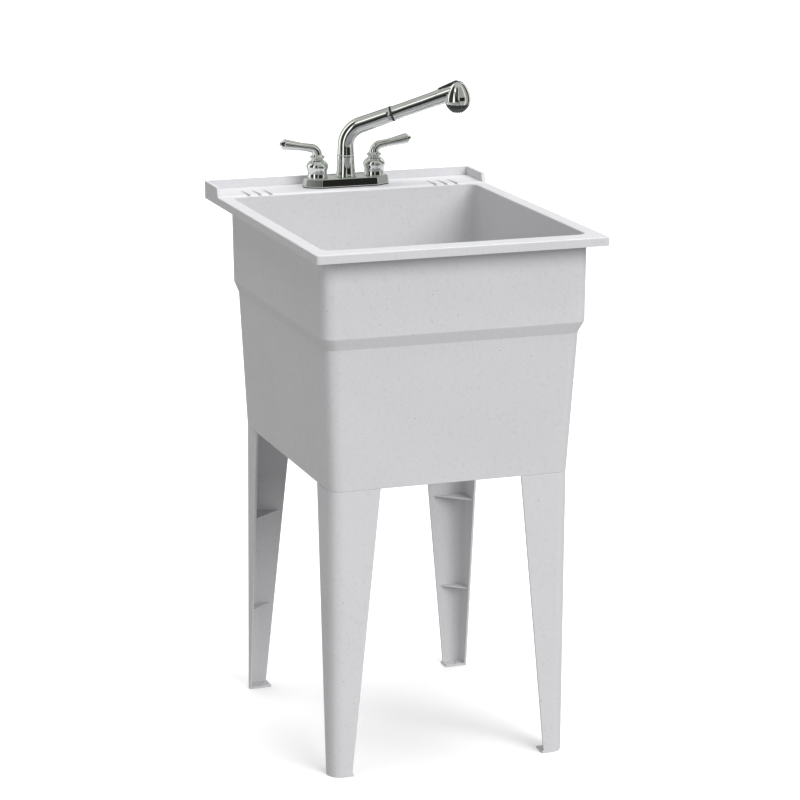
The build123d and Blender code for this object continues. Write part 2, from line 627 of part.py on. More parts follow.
def slip_nut():
    """Ribbed coupling nut that pulls the tailpiece up to the drain body."""
    seat, foot, top = SLIP_SEAT_Z, SLIP_SEAT_Z - SLIP_NUT_LIP, DRAIN_BODY_END + SLIP_NUT_GRIP
    inner, outer = DRAIN_BODY / 2 + FIT_GAP, DRAIN_BODY / 2 + SLIP_NUT_WALL
    hole = TAILPIECE_ROOT / 2 + FIT_GAP
    outline = [(hole, seat), (hole, foot), (outer - 2, foot), (outer, foot + 2), (outer, top), (inner, top),
               (inner, seat)]
    nut = turned_points(outline)
    rib = block(outer - 1, outer + 2, -2, 2, seat, top)
    for i in range(SLIP_NUT_RIBS):
        nut += Rot(0, 0, 360 / SLIP_NUT_RIBS * i) * rib
    return Pos(0, DRAIN_Y, 0) * nut


def drain_stopper():
    """Tapered rubber plug with a pull knob."""
    seat_top = DRAIN_SEAT_Z + DRAIN_FLANGE_THICK - STOPPER_SEAT_DEPTH
    wide = DRAIN_BORE / 2 - STOPPER_GAP
    low = seat_top - STOPPER_HEIGHT + STOPPER_GAP
    brim = seat_top + 3
    stalk = STOPPER_KNOB / 4
    knob = brim + 11
    outline = [(0, low), (wide - STOPPER_TAPER, low), (wide, seat_top), (wide, brim),
               (stalk, brim + 2), (stalk, knob - 4), (STOPPER_KNOB / 2, knob - 1),
               (STOPPER_KNOB / 2, knob + 1), (stalk, knob + 3), (0, knob + 3)]
    return Pos(0, DRAIN_Y, 0) * turned_points(outline)


# ---- faucet: fixed pieces --------------------------------------------------
def base_outline(inset=0.0):
    """Long rectangle with its four corners cut off."""
    half, deep = BASE_WIDTH / 2 - inset, BASE_DEPTH / 2 - inset
    cut_x, cut_y = BASE_CHAMFER_X - inset / 2, BASE_CHAMFER_Y - inset / 2
    points = [(half, deep - cut_y), (half - cut_x, deep), (cut_x - half, deep),
              (-half, deep - cut_y), (-half, cut_y - deep), (cut_x - half, -deep),
              (half - cut_x, -deep), (half, cut_y - deep)]
    return make_face(Polyline(*points, close=True))


def faucet_base():
    """Hollow faceted cover plate, drawn in towards its top."""
    lean = BASE_HEIGHT * tan(radians(BASE_DRAFT))
    faces = [Pos(0, 0, BASE_FOOT_Z) * base_outline(), Pos(0, 0, BASE_TOP) * base_outline(lean)]
    cover = loft(faces, ruled=True)
    cover = fillet(cover.edges().group_by(Axis.Z)[-1], BASE_EDGE_ROUND)
    ceiling = BASE_TOP - BASE_WALL
    cover -= loft([Pos(0, 0, BASE_FOOT_Z - CUT) * base_outline(BASE_WALL),
                   Pos(0, 0, ceiling) * base_outline(lean + BASE_WALL)], ruled=True)
    cover -= disc(POST_DIAMETER + 4 * FIT_GAP, ceiling - CUT, BASE_TOP + CUT)
    for side in (-1, 1):
        cover -= disc(VALVE_POT + 4 * FIT_GAP, ceiling - CUT, BASE_TOP + CUT, side * HANDLE_CENTRES / 2)
    return Pos(0, FAUCET_Y, 0) * cover


def base_gasket():
    """Soft sheet between the deck and the base."""
    sheet = extrude(Pos(0, 0, DECK_TOP) * base_outline(0.8), BASE_GASKET)
    sheet -= disc(GUIDE_DIAMETER + 4 * FIT_GAP, DECK_TOP - CUT, BASE_FOOT_Z + CUT)
    for x in (-HANDLE_CENTRES / 2, HANDLE_CENTRES / 2):
        sheet -= disc(SHANK_DIAMETER + 4 * FIT_GAP, DECK_TOP - CUT, BASE_FOOT_Z + CUT, x)
    return Pos(0, FAUCET_Y, 0) * sheet


def waterway():
    """Brass casting: valve pots, threaded inlet shanks, hose guide and spout post."""
    floor_z = BASE_FOOT_Z
    bar = extrude(Pos(0, 0, floor_z) * SlotCenterToCenter(HANDLE_CENTRES, WATERWAY_WIDTH), WATERWAY_HEIGHT)
    body = bar + disc(POST_DIAMETER, floor_z, COLLAR_TOP_Z + POST_RISE)
    body += disc(GUIDE_DIAMETER, DECK_TOP - GUIDE_LENGTH, floor_z + CUT)
    core = SHANK_DIAMETER - 2 * SHANK_RELIEF_DEPTH
    for x in (-HANDLE_CENTRES / 2, HANDLE_CENTRES / 2):
        body += disc(VALVE_POT, floor_z, BASE_TOP + VALVE_POT_RISE, x)
        body += disc(SHANK_DIAMETER, SHANK_END_Z, floor_z + CUT, x)
    body -= disc(POST_BORE, DECK_TOP - GUIDE_LENGTH - CUT, COLLAR_TOP_Z + POST_RISE + CUT)
    for x in (-HANDLE_CENTRES / 2, HANDLE_CENTRES / 2):
        body -= disc(CARTRIDGE + 2 * FIT_GAP, floor_z + 2 * CUT, BASE_TOP + VALVE_POT_RISE + CUT, x)
        body -= disc(SHANK_BORE, SHANK_END_Z - CUT, floor_z + 3 * CUT, x)
        body -= ring(SHANK_DIAMETER + 1, core, SHANK_FREE_Z, MOUNT_NUT_LOW, x)
    for z in o_ring_levels():
        body -= ring(POST_DIAMETER + 1, POST_DIAMETER + 2 * RUNNING_GAP - 2 * O_RING,
                     z - O_RING / 2, z + O_RING / 2)
    return Pos(0, FAUCET_Y, 0) * body


def o_ring_levels():
    """Heights of the two seals on the spout post."""
    middle = COLLAR_TOP_Z + POST_RISE / 2 + 1
    return (middle - O_RING_STEP / 2, middle + O_RING_STEP / 2)


def spout_o_rings():
    """Seals in the grooves of the post."""
    centre = POST_DIAMETER / 2 + RUNNING_GAP / 2 - O_RING / 2
    rings = [Pos(0, FAUCET_Y, z) * Torus(centre, O_RING / 2 - RUNNING_GAP / 2) for z in o_ring_levels()]
    return Compound(children=rings)


def mount_washers():
    """Broad washers under the deck."""
    top, hole = DECK_TOP - DECK_PLATE, SHANK_DIAMETER + 4 * FIT_GAP
    return Compound(children=[ring(MOUNT_WASHER_OD, hole, top - MOUNT_WASHER, top, x, FAUCET_Y)
                              for x in (-HANDLE_CENTRES / 2, HANDLE_CENTRES / 2)])


def mount_nuts():
    """Six-sided nuts that pull the faucet down."""
    low, high = MOUNT_NUT_LOW, MOUNT_NUT_LOW + MOUNT_NUT
    nuts = []
    for x in (-HANDLE_CENTRES / 2, HANDLE_CENTRES / 2):
        blank = extrude(Pos(x, FAUCET_Y, low) * RegularPolygon(MOUNT_NUT_OD / 2, 6), MOUNT_NUT)
        blank = chamfer(blank.edges().group_by(Axis.Z)[0], BASE_EDGE_ROUND)
        nuts.append(blank - disc(SHANK_DIAMETER + FIT_GAP, low - CUT, high + CUT, x, FAUCET_Y))
    return Compound(children=nuts)


def cartridge(side):
    """Quarter-turn valve cartridge seated in its pot."""
    low = BASE_FOOT_Z + 2 * CUT
    shoulder = BONNET_TOP - BONNET_WALL_TOP - FIT_GAP
    body = disc(CARTRIDGE, low, shoulder) + disc(CARTRIDGE_NECK, shoulder - CUT, BONNET_TOP)
    body -= disc(STEM_DIAMETER + 2 * RUNNING_GAP, BONNET_TOP - 2 * BONNET_WALL_TOP, BONNET_TOP + CUT)
    return Pos(side * HANDLE_CENTRES / 2, FAUCET_Y, 0) * body


def bonnet(side):
    """Bell-shaped cover nut over the cartridge."""
    foot, belly, shoulder = BONNET_FOOT / 2, BONNET_BELLY / 2, BONNET_SHOULDER / 2
    inner = VALVE_POT / 2 + FIT_GAP
    neck = CARTRIDGE_NECK / 2 + FIT_GAP
    ceiling = BONNET_HEIGHT - BONNET_WALL_TOP
    flank = Spline([(foot, 2.0), (foot - 0.6, BONNET_BELLY_Z / 2), (belly, BONNET_BELLY_Z)],
                   tangents=[(0, 1), (0, 1)])
    top = Spline([(belly, BONNET_BELLY_Z), (shoulder + 2.5, BONNET_HEIGHT - 2.6),
                  (shoulder - 1, BONNET_HEIGHT)], tangents=[(0, 1), (-1, 0.6)])
    rest = Polyline((shoulder - 1, BONNET_HEIGHT), (neck, BONNET_HEIGHT), (neck, ceiling),
                    (inner, ceiling), (inner, 0), (foot, 0), (foot, 2.0))
    shell = turned(*flank.edges(), *top.edges(), *rest.edges())
    return Pos(side * HANDLE_CENTRES / 2, FAUCET_Y, BASE_TOP) * shell


def spout_collar():
    """Flared skirt round the foot of the spout."""
    foot, top = COLLAR_FOOT / 2, COLLAR_TOP / 2
    bore = POST_DIAMETER / 2 + 2 * FIT_GAP
    flank = Spline([(foot, 1.5), (foot - 2.2, COLLAR_HEIGHT * 0.4), (top, COLLAR_HEIGHT)],
                   tangents=[(-0.05, 1), (0, 1)])
    rest = Polyline((top, COLLAR_HEIGHT), (bore, COLLAR_HEIGHT), (bore, 0), (foot, 0), (foot, 1.5))
    return Pos(0, FAUCET_Y, BASE_TOP) * turned(*flank.edges(), *rest.edges())


def thrust_washer():
    """Slip ring that the spout turns on."""
    top = COLLAR_TOP_Z + THRUST_WASHER
    return ring(COLLAR_TOP - 1, POST_DIAMETER + 2 * FIT_GAP, COLLAR_TOP_Z, top, 0, FAUCET_Y)


# ---- faucet: handles -------------------------------------------------------
def lever_plane():
    """Frame at the bend of the left lever, X running out along it."""
    out = (-cos(radians(LEVER_RISE)), 0, sin(radians(LEVER_RISE)))
    return Plane(origin=(0, 0, BONNET_TOP + LEVER_AXIS_Z), x_dir=out, z_dir=(0, 1, 0))


def lever_handle():
    """Left lever handle about its own spindle: bead, neck, bend and flared lever."""
    low = BONNET_TOP + HANDLE_GAP
    turn = 90 - LEVER_RISE
    tangent = LEVER_BEND * tan(radians(turn / 2))
    neck = HANDLE_NECK / 2
    bend_foot = LEVER_AXIS_Z - tangent
    bead, bead_z = HANDLE_BEAD / 2, HANDLE_BEAD_Z
    swell = LEVER_WAIST / 2 + 1.2
    skirt = Spline([(neck + 1, HANDLE_GAP), (neck + 1.6, bead_z - 2.6), (bead, bead_z),
                    (neck + 0.2, bead_z + 2.8), (swell, bend_foot)], tangents=[(0, 1), (0, 1)])
    rest = Polyline((swell, bend_foot), (0, bend_foot), (0, HANDLE_GAP), (neck + 1, HANDLE_GAP))
    hub = Pos(0, 0, BONNET_TOP) * turned(*skirt.edges(), *rest.edges())
    start = (0, BONNET_TOP + bend_foot)
    finish = (-tangent * cos(radians(LEVER_RISE)),
              BONNET_TOP + LEVER_AXIS_Z + tangent * sin(radians(LEVER_RISE)))
    run = Plane.XZ * TangentArc(start, finish, tangent=(0, 1))
    elbow = sweep(Pos(0, 0, start[1]) * Circle(swell), path=run)
    frame = lever_plane()
    waist, end = LEVER_WAIST / 2, LEVER_END / 2
    tip_x = LEVER_REACH / cos(radians(LEVER_RISE))
    flare = Spline([(tangent, swell), (tangent + LEVER_WAIST_AT, waist - 0.3),
                    (tip_x - LEVER_TIP - 4, end - 0.5), (tip_x - LEVER_TIP, end)],
                   tangents=[(1, 0), (1, 0.1)])
    nose = Spline([(tip_x - LEVER_TIP, end), (tip_x - LEVER_TIP / 2, end * 0.55), (tip_x, 0)],
                  tangents=[(1, -0.4), (0.6, -1)])
    back = Polyline((tip_x, 0), (tangent, 0), (tangent, swell))
    line = Axis(frame.origin, frame.x_dir)
    arm = turned(*flare.edges(), *nose.edges(), *back.edges(), plane=frame, axis=line)
    body = hub + elbow + arm
    body -= disc(STEM_DIAMETER + 2 * FIT_GAP, low - CUT, BONNET_TOP + STEM_RISE + FIT_GAP)
    screw_z = BONNET_TOP + STEM_RISE - 2 * SET_SCREW + 1
    return body - set_screw_rod(screw_z, STEM_DIAMETER / 2, HANDLE_BEAD, SET_SCREW + FIT_GAP)


def set_screw_rod(z, start, end, diameter):
    """Rod pointing to the back of the handle's spindle."""
    return extrude(Plane(origin=(0, start, z), z_dir=(0, 1, 0)) * Circle(diameter / 2), end - start)


def set_screw():
    """Grub screw that bears on the stem."""
    z = BONNET_TOP + STEM_RISE - 2 * SET_SCREW + 1
    start = STEM_DIAMETER / 2 + RUNNING_GAP
    rod = set_screw_rod(z, start, start + SET_SCREW_LENGTH, SET_SCREW)
    socket = set_screw_rod(z, start + SET_SCREW_LENGTH / 2, start + SET_SCREW_LENGTH + CUT, SET_SCREW / 2)
    return rod - socket


def stem():
    """Spindle that joins the handle to the cartridge."""
    return disc(STEM_DIAMETER, BONNET_TOP - 2 * BONNET_WALL_TOP + FIT_GAP, BONNET_TOP + STEM_RISE)


def on_valve(piece, side):
    """Place a handle piece over the hot (-1) or cold (+1) valve."""
    own = piece if side < 0 else mirror(piece, Plane.YZ)
    return Pos(side * HANDLE_CENTRES / 2, FAUCET_Y, 0) * own


# ---- faucet: spout ---------------------------------------------------------
def arm_plane():
    """Frame of the arm: X along it, Y square to it and upward, before the spout is turned."""
    along = (cos(radians(ARM_RISE)), 0, sin(radians(ARM_RISE)))
    return Plane(origin=(0, 0, ARM_CROSS_Z), x_dir=along, z_dir=(0, -1, 0))


def along_arm(points):
    """Solid of revolution about the arm's axis, from (distance, radius) points."""
    frame = arm_plane()
    return turned_points(points, plane=frame, axis=Axis(frame.origin, frame.x_dir))


def on_spout(piece):
    """Turn a spout piece to its rest angle over the faucet."""
    return Pos(0, FAUCET_Y, 0) * Rot(0, 0, SPOUT_REST_ANGLE) * piece


def bend_path():
    """Centre line of the spout's bend."""
    tangent = BEND_RADIUS * tan(radians((90 - ARM_RISE) / 2))
    low = (0, ARM_CROSS_Z - tangent)
    high = (tangent * cos(radians(ARM_RISE)), ARM_CROSS_Z + tangent * sin(radians(ARM_RISE)))
    return tangent, low, Plane.XZ * TangentArc(low, high, tangent=(0, 1))


def spout_tube():
    """Bent spout: tapered riser, bend and arm, bored for the post, the hose and the wand."""
    tangent, low, path = bend_path()
    foot, bend, dock = RISER_FOOT / 2, TUBE_AT_BEND / 2, TUBE_AT_DOCK / 2
    riser = turned_points([(0, RISER_FOOT_Z), (foot - 0.5, RISER_FOOT_Z), (foot, RISER_FOOT_Z + 0.5),
                           (bend, low[1]), (0, low[1])])
    arm = along_arm([(tangent, 0), (tangent, bend), (ARM_LENGTH, dock), (ARM_LENGTH, 0)])
    tube = riser + sweep(Pos(0, 0, low[1]) * Circle(bend), path=path) + arm
    post_top = COLLAR_TOP_Z + POST_RISE + 2 * CUT
    bore = TUBE_BORE / 2
    tube -= disc(POST_DIAMETER + 2 * RUNNING_GAP, RISER_FOOT_Z - CUT, post_top)
    tube -= disc(TUBE_BORE, post_top - CUT, low[1])
    tube -= sweep(Pos(0, 0, low[1]) * Circle(bore), path=path)
    deep = ARM_LENGTH - DOCK_DEPTH
    tube -= along_arm([(tangent, 0), (tangent, bore), (deep, bore), (deep, DOCK_BORE / 2),
                       (ARM_LENGTH + CUT, DOCK_BORE / 2), (ARM_LENGTH + CUT, 0)])
    return on_spout(tube)


def dock_ring():
    """Black ring at the spout's mouth."""
    outer, inner = DOCK_RING_OD / 2, DOCK_BORE / 2
    end = ARM_LENGTH + DOCK_RING
    return on_spout(along_arm([(ARM_LENGTH, inner), (ARM_LENGTH, outer - 0.4), (ARM_LENGTH + 0.4, outer),
                               (end - 0.4, outer), (end, outer - 0.4), (end, inner)]))


# ---- faucet: spray wand ----------------------------------------------------
def head_solid():
    """Egg-shaped spray head about its own upright axis, flat where its face goes."""
    top, foot = HEAD_BELLY_Z + HEAD_CROWN, HEAD_BELLY_Z - FACE_DROP
    shoulder = (0.63 * HEAD_RADIUS, HEAD_BELLY_Z + 0.74 * HEAD_CROWN)
    side = Spline([(0, top), shoulder, (HEAD_RADIUS, HEAD_BELLY_Z), (HEAD_FOOT, foot)],
                  tangents=[(1, 0), (-FACE_DROP / HEAD_KEEL ** 2, -HEAD_FOOT / HEAD_RADIUS ** 2)])
    rest = Polyline((HEAD_FOOT, foot), (0, foot), (0, top))
    return Pos(HEAD_REACH, 0, 0) * turned(*side.edges(), *rest.edges())


def wand_shape():
    """Barrel and head of the wand before anything is cut into it."""
    frame = arm_plane()
    mouth, waist, throat, flare = WAND_MOUTH / 2, WAND_WAIST / 2, WAND_THROAT / 2, WAND_FLARE / 2
    middle = (WAND_START + WAND_THROAT_AT) / 2
    side = Spline([(WAND_START, mouth), (middle, waist), (WAND_THROAT_AT, throat)],
                  tangents=[(1, -0.06), (1, 0.07)])
    rest = Polyline((WAND_THROAT_AT, throat), (WAND_FLARE_AT, flare), (WAND_FLARE_AT, 0), (WAND_START, 0),
                    (WAND_START, mouth))
    barrel = turned(*side.edges(), *rest.edges(), plane=frame, axis=Axis(frame.origin, frame.x_dir))
    return barrel + head_solid()


def button_plane(lift=0.0):
    """Frame on the top face of the button, before the spout is turned."""
    along = (cos(radians(BUTTON_TILT)), 0, sin(radians(BUTTON_TILT)))
    up = Vector(-sin(radians(BUTTON_TILT)), 0, cos(radians(BUTTON_TILT)))
    centre = Vector(BUTTON_REACH, 0, DECK_TOP + BUTTON_LEVEL) + up * lift
    return Plane(origin=centre, x_dir=along, z_dir=up)


def button_block(grow, top, bottom):
    """Round-ended block of the button or its well."""
    face = button_plane(bottom) * SlotOverall(BUTTON_LENGTH + 2 * grow, BUTTON_WIDTH + 2 * grow)
    return extrude(face, top - bottom)


def bezel_level():
    """Height where the chrome head ends and the dark bezel begins."""
    return HEAD_BELLY_Z - BEZEL_TOP_DROP


def wand_body():
    """Chrome shell of the wand with its bore, spray chamber and button well."""
    top = bezel_level()
    body = wand_shape()
    body -= Pos(HEAD_REACH, 0, 0) * disc(2 * HEAD_RADIUS + CUT, top - 2 * HEAD_RADIUS, top)
    body -= Pos(HEAD_REACH, 0, 0) * disc(2 * FACE_CAVITY, top - CUT, HEAD_BELLY_Z + FACE_CAVITY)
    body -= along_arm([(WAND_START - CUT, 0), (WAND_START - CUT, WAND_BORE / 2),
                       (HEAD_REACH, WAND_BORE / 2), (HEAD_REACH, 0)])
    body -= button_block(BUTTON_GAP, OVER, -BUTTON_HEIGHT - BUTTON_TRAVEL - BUTTON_GAP)
    return on_spout(body)


def spray_bezel():
    """Dark ring that closes the bottom of the head."""
    top = bezel_level() - BEZEL_GAP
    low = HEAD_BELLY_Z - FACE_DROP
    band = head_solid() & Pos(HEAD_REACH, 0, 0) * disc(4 * HEAD_RADIUS, low, top)
    return on_spout(band - Pos(HEAD_REACH, 0, 0) * disc(2 * FACE_CAVITY, low - CUT, top + CUT))


def spray_face():
    """Soft spray plate with rings of nozzles."""
    seat = HEAD_BELLY_Z - FACE_DROP
    low = seat - FACE_BULGE
    plug, brim = FACE_CAVITY - FIT_GAP, HEAD_FOOT - FIT_GAP
    middle = HEAD_RADIUS * (1 - ((FACE_DROP + FACE_BULGE / 2) / HEAD_KEEL) ** 2) ** 0.5 - FIT_GAP
    bulge = Spline([(brim, seat), (middle, seat - FACE_BULGE / 2), (FACE_FLAT, low)])
    rest = Polyline((FACE_FLAT, low), (0, low), (0, seat + FACE_THICK), (plug, seat + FACE_THICK),
                    (plug, seat), (brim, seat))
    plate = turned(*bulge.edges(), *rest.edges())
    for radius, count in zip(NOZZLE_RADII, NOZZLE_COUNTS):
        for i in range(count):
            spot = Rot(0, 0, 360 / count * i) * Pos(radius, 0, 0)
            plate += spot * disc(NOZZLE_DIAMETER, low - NOZZLE_LENGTH, low + CUT)
    return on_spout(Pos(HEAD_REACH, 0, 0) * plate)


def wand_shank():
    """Plastic tube fixed in the wand that docks in the spout and takes the hose."""
    start = WAND_START - SHANK_TUBE_LENGTH
    tube, bore, nipple = SHANK_TUBE / 2, WAND_BORE / 2 - FIT_GAP, HOSE_NIPPLE / 2
    inlet = bore - 2
    end = WAND_START + OVER / 2
    points = [(start - HOSE_NIPPLE_LENGTH, inlet), (start - HOSE_NIPPLE_LENGTH, nipple), (start, nipple),
              (start, tube), (WAND_START, tube), (WAND_START, bore), (end, bore), (end, inlet)]
    return on_spout(along_arm(points))


def spray_button():
    """Black push control along the top of the head."""
    end, brow = BUTTON_LENGTH / 2, BUTTON_LENGTH / 2 - BUTTON_BROW
    rest = Polyline((end, -BUTTON_BROW_DROP), (end, -BUTTON_HEIGHT), (-end, -BUTTON_HEIGHT),
                    (-end, 0), (brow, 0))
    nose = TangentArc((brow, 0), (end, -BUTTON_BROW_DROP), tangent=(1, 0))
    side = Wire([*rest.edges(), *nose.edges()])
    frame = button_plane()
    across = Plane(origin=frame.origin, x_dir=frame.x_dir, z_dir=frame.x_dir.cross(frame.z_dir))
    bar = extrude(across * make_face(side), BUTTON_WIDTH, both=True) & button_block(0, 0, -BUTTON_HEIGHT)
    return on_spout(bar)


# ---- every node, written out -----------------------------------------------
def build():
    """All pieces by node name."""
    nodes = {}
    for corner in CORNERS:
        nodes["leg_" + corner] = leg(corner)
    for maker in (tub_basin, leg_screws, drain_strainer, drain_gasket, drain_washer, drain_locknut,
                  tail_washer, tailpiece, slip_nut, drain_stopper, faucet_base, base_gasket, waterway,
                  spout_o_rings, mount_washers, mount_nuts, spout_collar, thrust_washer, spout_tube,
                  dock_ring, wand_body, wand_shank, spray_bezel, spray_face, spray_button):
        nodes[maker.__name__] = maker()
    handle, screw, spindle = lever_handle(), set_screw(), stem()
    for name, side in (("hot", -1), ("cold", 1)):
        nodes[name + "_cartridge"] = cartridge(side)
        nodes[name + "_bonnet"] = bonnet(side)
        nodes[name + "_handle"] = on_valve(handle, side)
        nodes[name + "_set_screw"] = on_valve(screw, side)
        nodes[name + "_stem"] = on_valve(spindle, side)
    return nodes


os.makedirs("parts", exist_ok=True)
for node_name, shape in build().items():
    export_step(shape, "parts/" + node_name + ".step")
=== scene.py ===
import json
from math import cos, inf, radians, sin, tan

import bpy
from bpy.props import FloatProperty, FloatVectorProperty, IntProperty, PointerProperty
from mathutils import Matrix, Vector


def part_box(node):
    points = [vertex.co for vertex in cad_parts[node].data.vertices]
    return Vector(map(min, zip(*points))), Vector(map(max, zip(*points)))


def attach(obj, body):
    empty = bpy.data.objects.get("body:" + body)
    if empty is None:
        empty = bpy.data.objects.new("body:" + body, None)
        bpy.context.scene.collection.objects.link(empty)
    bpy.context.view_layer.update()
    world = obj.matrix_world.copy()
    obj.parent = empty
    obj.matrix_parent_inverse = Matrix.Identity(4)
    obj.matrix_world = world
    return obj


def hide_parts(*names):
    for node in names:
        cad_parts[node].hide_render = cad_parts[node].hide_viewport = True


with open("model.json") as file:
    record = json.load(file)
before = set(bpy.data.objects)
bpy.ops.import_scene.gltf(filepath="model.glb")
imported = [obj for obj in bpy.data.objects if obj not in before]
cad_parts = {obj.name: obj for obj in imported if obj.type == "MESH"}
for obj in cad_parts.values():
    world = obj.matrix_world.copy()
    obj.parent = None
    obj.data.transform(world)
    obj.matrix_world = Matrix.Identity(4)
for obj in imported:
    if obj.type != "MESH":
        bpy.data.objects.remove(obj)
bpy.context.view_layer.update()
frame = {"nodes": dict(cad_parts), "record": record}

bl_info = {
    "name": "Utility Laundry Sink",
    "version": (1, 0, 0),
    "blender": (4, 5, 0),
    "location": "3D View > Sidebar > Laundry Sink",
    "description": "Moulded tub and legs, plated faucet, drain and studio for the laundry sink",
    "category": "Object",
}

# Metres. X right, Y back, Z up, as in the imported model.
MM = 0.001

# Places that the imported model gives.
DECK_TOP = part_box("base_gasket")[0].z
BASE_LOW, BASE_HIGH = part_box("faucet_base")
BASE_TOP = BASE_HIGH.z
FAUCET_Y = (BASE_LOW.y + BASE_HIGH.y) / 2
VALVE_X = (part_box("cold_bonnet")[0].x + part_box("cold_bonnet")[1].x) / 2
BONNET_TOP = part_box("cold_bonnet")[1].z
COLLAR_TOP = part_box("spout_collar")[1].z
RISER_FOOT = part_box("spout_tube")[0].z

# Where the soap-dish grooves lie, left and right of the middle, and the grey of the shade painted
# in them.
GROOVE_X = (138 * MM, 200 * MM)
GROOVE_Y = (236.5 * MM, 290 * MM)
GROOVE_Z = (DECK_TOP - 3 * MM, DECK_TOP - 0.35 * MM)
GROOVE_SHADE_GREY = 0.12


# ---- sizes and colours -------------------------------------------------------
class SinkMoulding(bpy.types.PropertyGroup):
    """Looks of the tub and its legs."""

    plastic: FloatVectorProperty(
        name="Plastic", description="Colour of the moulded tub and legs",
        default=(0.63, 0.63, 0.645), subtype="COLOR", size=3, min=0, max=1)
    specks: FloatVectorProperty(
        name="Specks", description="Colour of the granules in the plastic",
        default=(0.16, 0.16, 0.18), subtype="COLOR", size=3, min=0, max=1)
    speck_strength: FloatProperty(
        name="Speck Strength", description="How much the larger granules show",
        default=0.55, min=0, max=1, subtype="FACTOR")
    fleck_strength: FloatProperty(
        name="Fleck Strength", description="How much the soft flecks between the granules show",
        default=0.09, min=0, max=1, subtype="FACTOR")
    roughness: FloatProperty(
        name="Roughness", description="Roughness of the moulded surface",
        default=0.42, min=0, max=1, subtype="FACTOR")
    # Painted shade: how far the dish grooves are darkened towards a grey, in place of the shade
    # that falls in them.
    groove_shade: FloatProperty(
        name="Groove Shade", description="How much darker the dish grooves are",
        default=0.45, min=0, max=1, subtype="FACTOR")
    edge_round: FloatProperty(
        name="Edge Round", description="Radius of the mould's edges",
        default=0.9 * MM, min=0, unit="LENGTH")
    edge_steps: IntProperty(
        name="Edge Steps", description="Facets across a rounded edge", default=2, min=1, max=6)


class SinkFaucet(bpy.types.PropertyGroup):
    """Sizes and looks of the faucet and the stopper."""

    chrome: FloatVectorProperty(
        name="Chrome", description="Colour of the plating",
        default=(0.80, 0.82, 0.80), subtype="COLOR", size=3, min=0, max=1)
    chrome_roughness: FloatProperty(
        name="Chrome Roughness", description="Roughness of clean plating",
        default=0.05, min=0, max=1, subtype="FACTOR")
    base_chamfer_x: FloatProperty(
        name="Base Cut Length", description="Length cut off each corner of the base, along it",
        default=25 * MM, min=0, unit="LENGTH")
    base_chamfer_y: FloatProperty(
        name="Base Cut Depth", description="Length cut off each corner of the base, across it",
        default=15 * MM, min=0, unit="LENGTH")
    base_draft: FloatProperty(
        name="Base Draft", description="Lean of the base's sides",
        default=radians(9), subtype="ANGLE")
    lever_bend: FloatProperty(
        name="Lever Bend", description="Radius of the lever's bend",
        default=13 * MM, unit="LENGTH")
    lever_axis: FloatProperty(
        name="Lever Height", description="Height of the lever's bend above the bonnet",
        default=20.4 * MM, unit="LENGTH")
    lever_rise: FloatProperty(
        name="Lever Rise", description="Angle of the lever above level",
        default=radians(10), subtype="ANGLE")
    lever_reach: FloatProperty(
        name="Lever Reach", description="Spindle to the lever's tip",
        default=67 * MM, unit="LENGTH")
    spout_turn: FloatProperty(
        name="Spout Turn", description="Heading of the spout at rest, from the right",
        default=radians(-22), subtype="ANGLE")
    arm_rise: FloatProperty(
        name="Arm Rise", description="Angle of the spout's arm above level",
        default=radians(19.8), subtype="ANGLE")
    bend_radius: FloatProperty(
        name="Bend Radius", description="Radius of the spout's bend",
        default=38 * MM, unit="LENGTH")
    arm_height: FloatProperty(
        name="Arm Height", description="Height above the deck where arm and riser meet",
        default=95 * MM, unit="LENGTH")
    arm_length: FloatProperty(
        name="Arm Length", description="From the bend's corner to the spout's mouth",
        default=82.4 * MM, unit="LENGTH")
    stopper_knob: FloatProperty(
        name="Stopper Knob", description="Width of the stopper's pull knob",
        default=16 * MM, min=0, unit="LENGTH")


class SinkStage(bpy.types.PropertyGroup):
    """Floor, light and camera."""

    floor: FloatVectorProperty(
        name="Floor", description="Colour of the floor",
        default=(0.93, 0.93, 0.93), subtype="COLOR", size=3, min=0, max=1)
    floor_glow: FloatProperty(
        name="Floor Glow", description="How much the floor's own light fades the shadows on it",
        default=0.18, min=0)
    key: FloatProperty(
        name="Front Light", description="Strength of the front light", default=2.52, min=0)
    top: FloatProperty(
        name="Top Light", description="Strength of the light from above", default=2.85, min=0)
    side: FloatProperty(
        name="Side Light", description="Strength of the light from the left", default=0.66, min=0)
    room: FloatProperty(
        name="Room Light", description="Strength of the light from all round",
        default=0.12, min=0)
    floor_light: FloatProperty(
        name="Floor Light", description="Strength of the light thrown up from below",
        default=0.50, min=0)
    lens: FloatProperty(
        name="Lens", description="Focal length", default=135.2525, unit="CAMERA")


# ---- shading -----------------------------------------------------------------
EMPTY_CELLS = 0.55    # share of a speckle pattern's cells that hold no speck


def grey(level):
    return (level, level, level, 1.0)


def opaque(colour, tone=1.0):
    """A colour for a shader, made lighter or darker by a tone."""
    return (*(part * tone for part in colour), 1.0)


class Value:
    """A node's output that takes part in sums."""

    def __init__(self, shading, socket):
        self.shading = shading
        self.socket = socket

    def sibling(self, output):
        """Another output of the same node."""
        return Value(self.shading, self.socket.node.outputs[output])

    def sum(self, operation, other):
        return self.shading.node("ShaderNodeMath", {"operation": operation}, {0: self, 1: other})

    def __add__(self, other):
        return self.sum("ADD", other)

    def __mul__(self, other):
        return self.sum("MULTIPLY", other)

    def __lt__(self, other):
        return self.sum("LESS_THAN", other)

    def __gt__(self, other):
        return self.sum("GREATER_THAN", other)

    __radd__ = __add__
    __rmul__ = __mul__


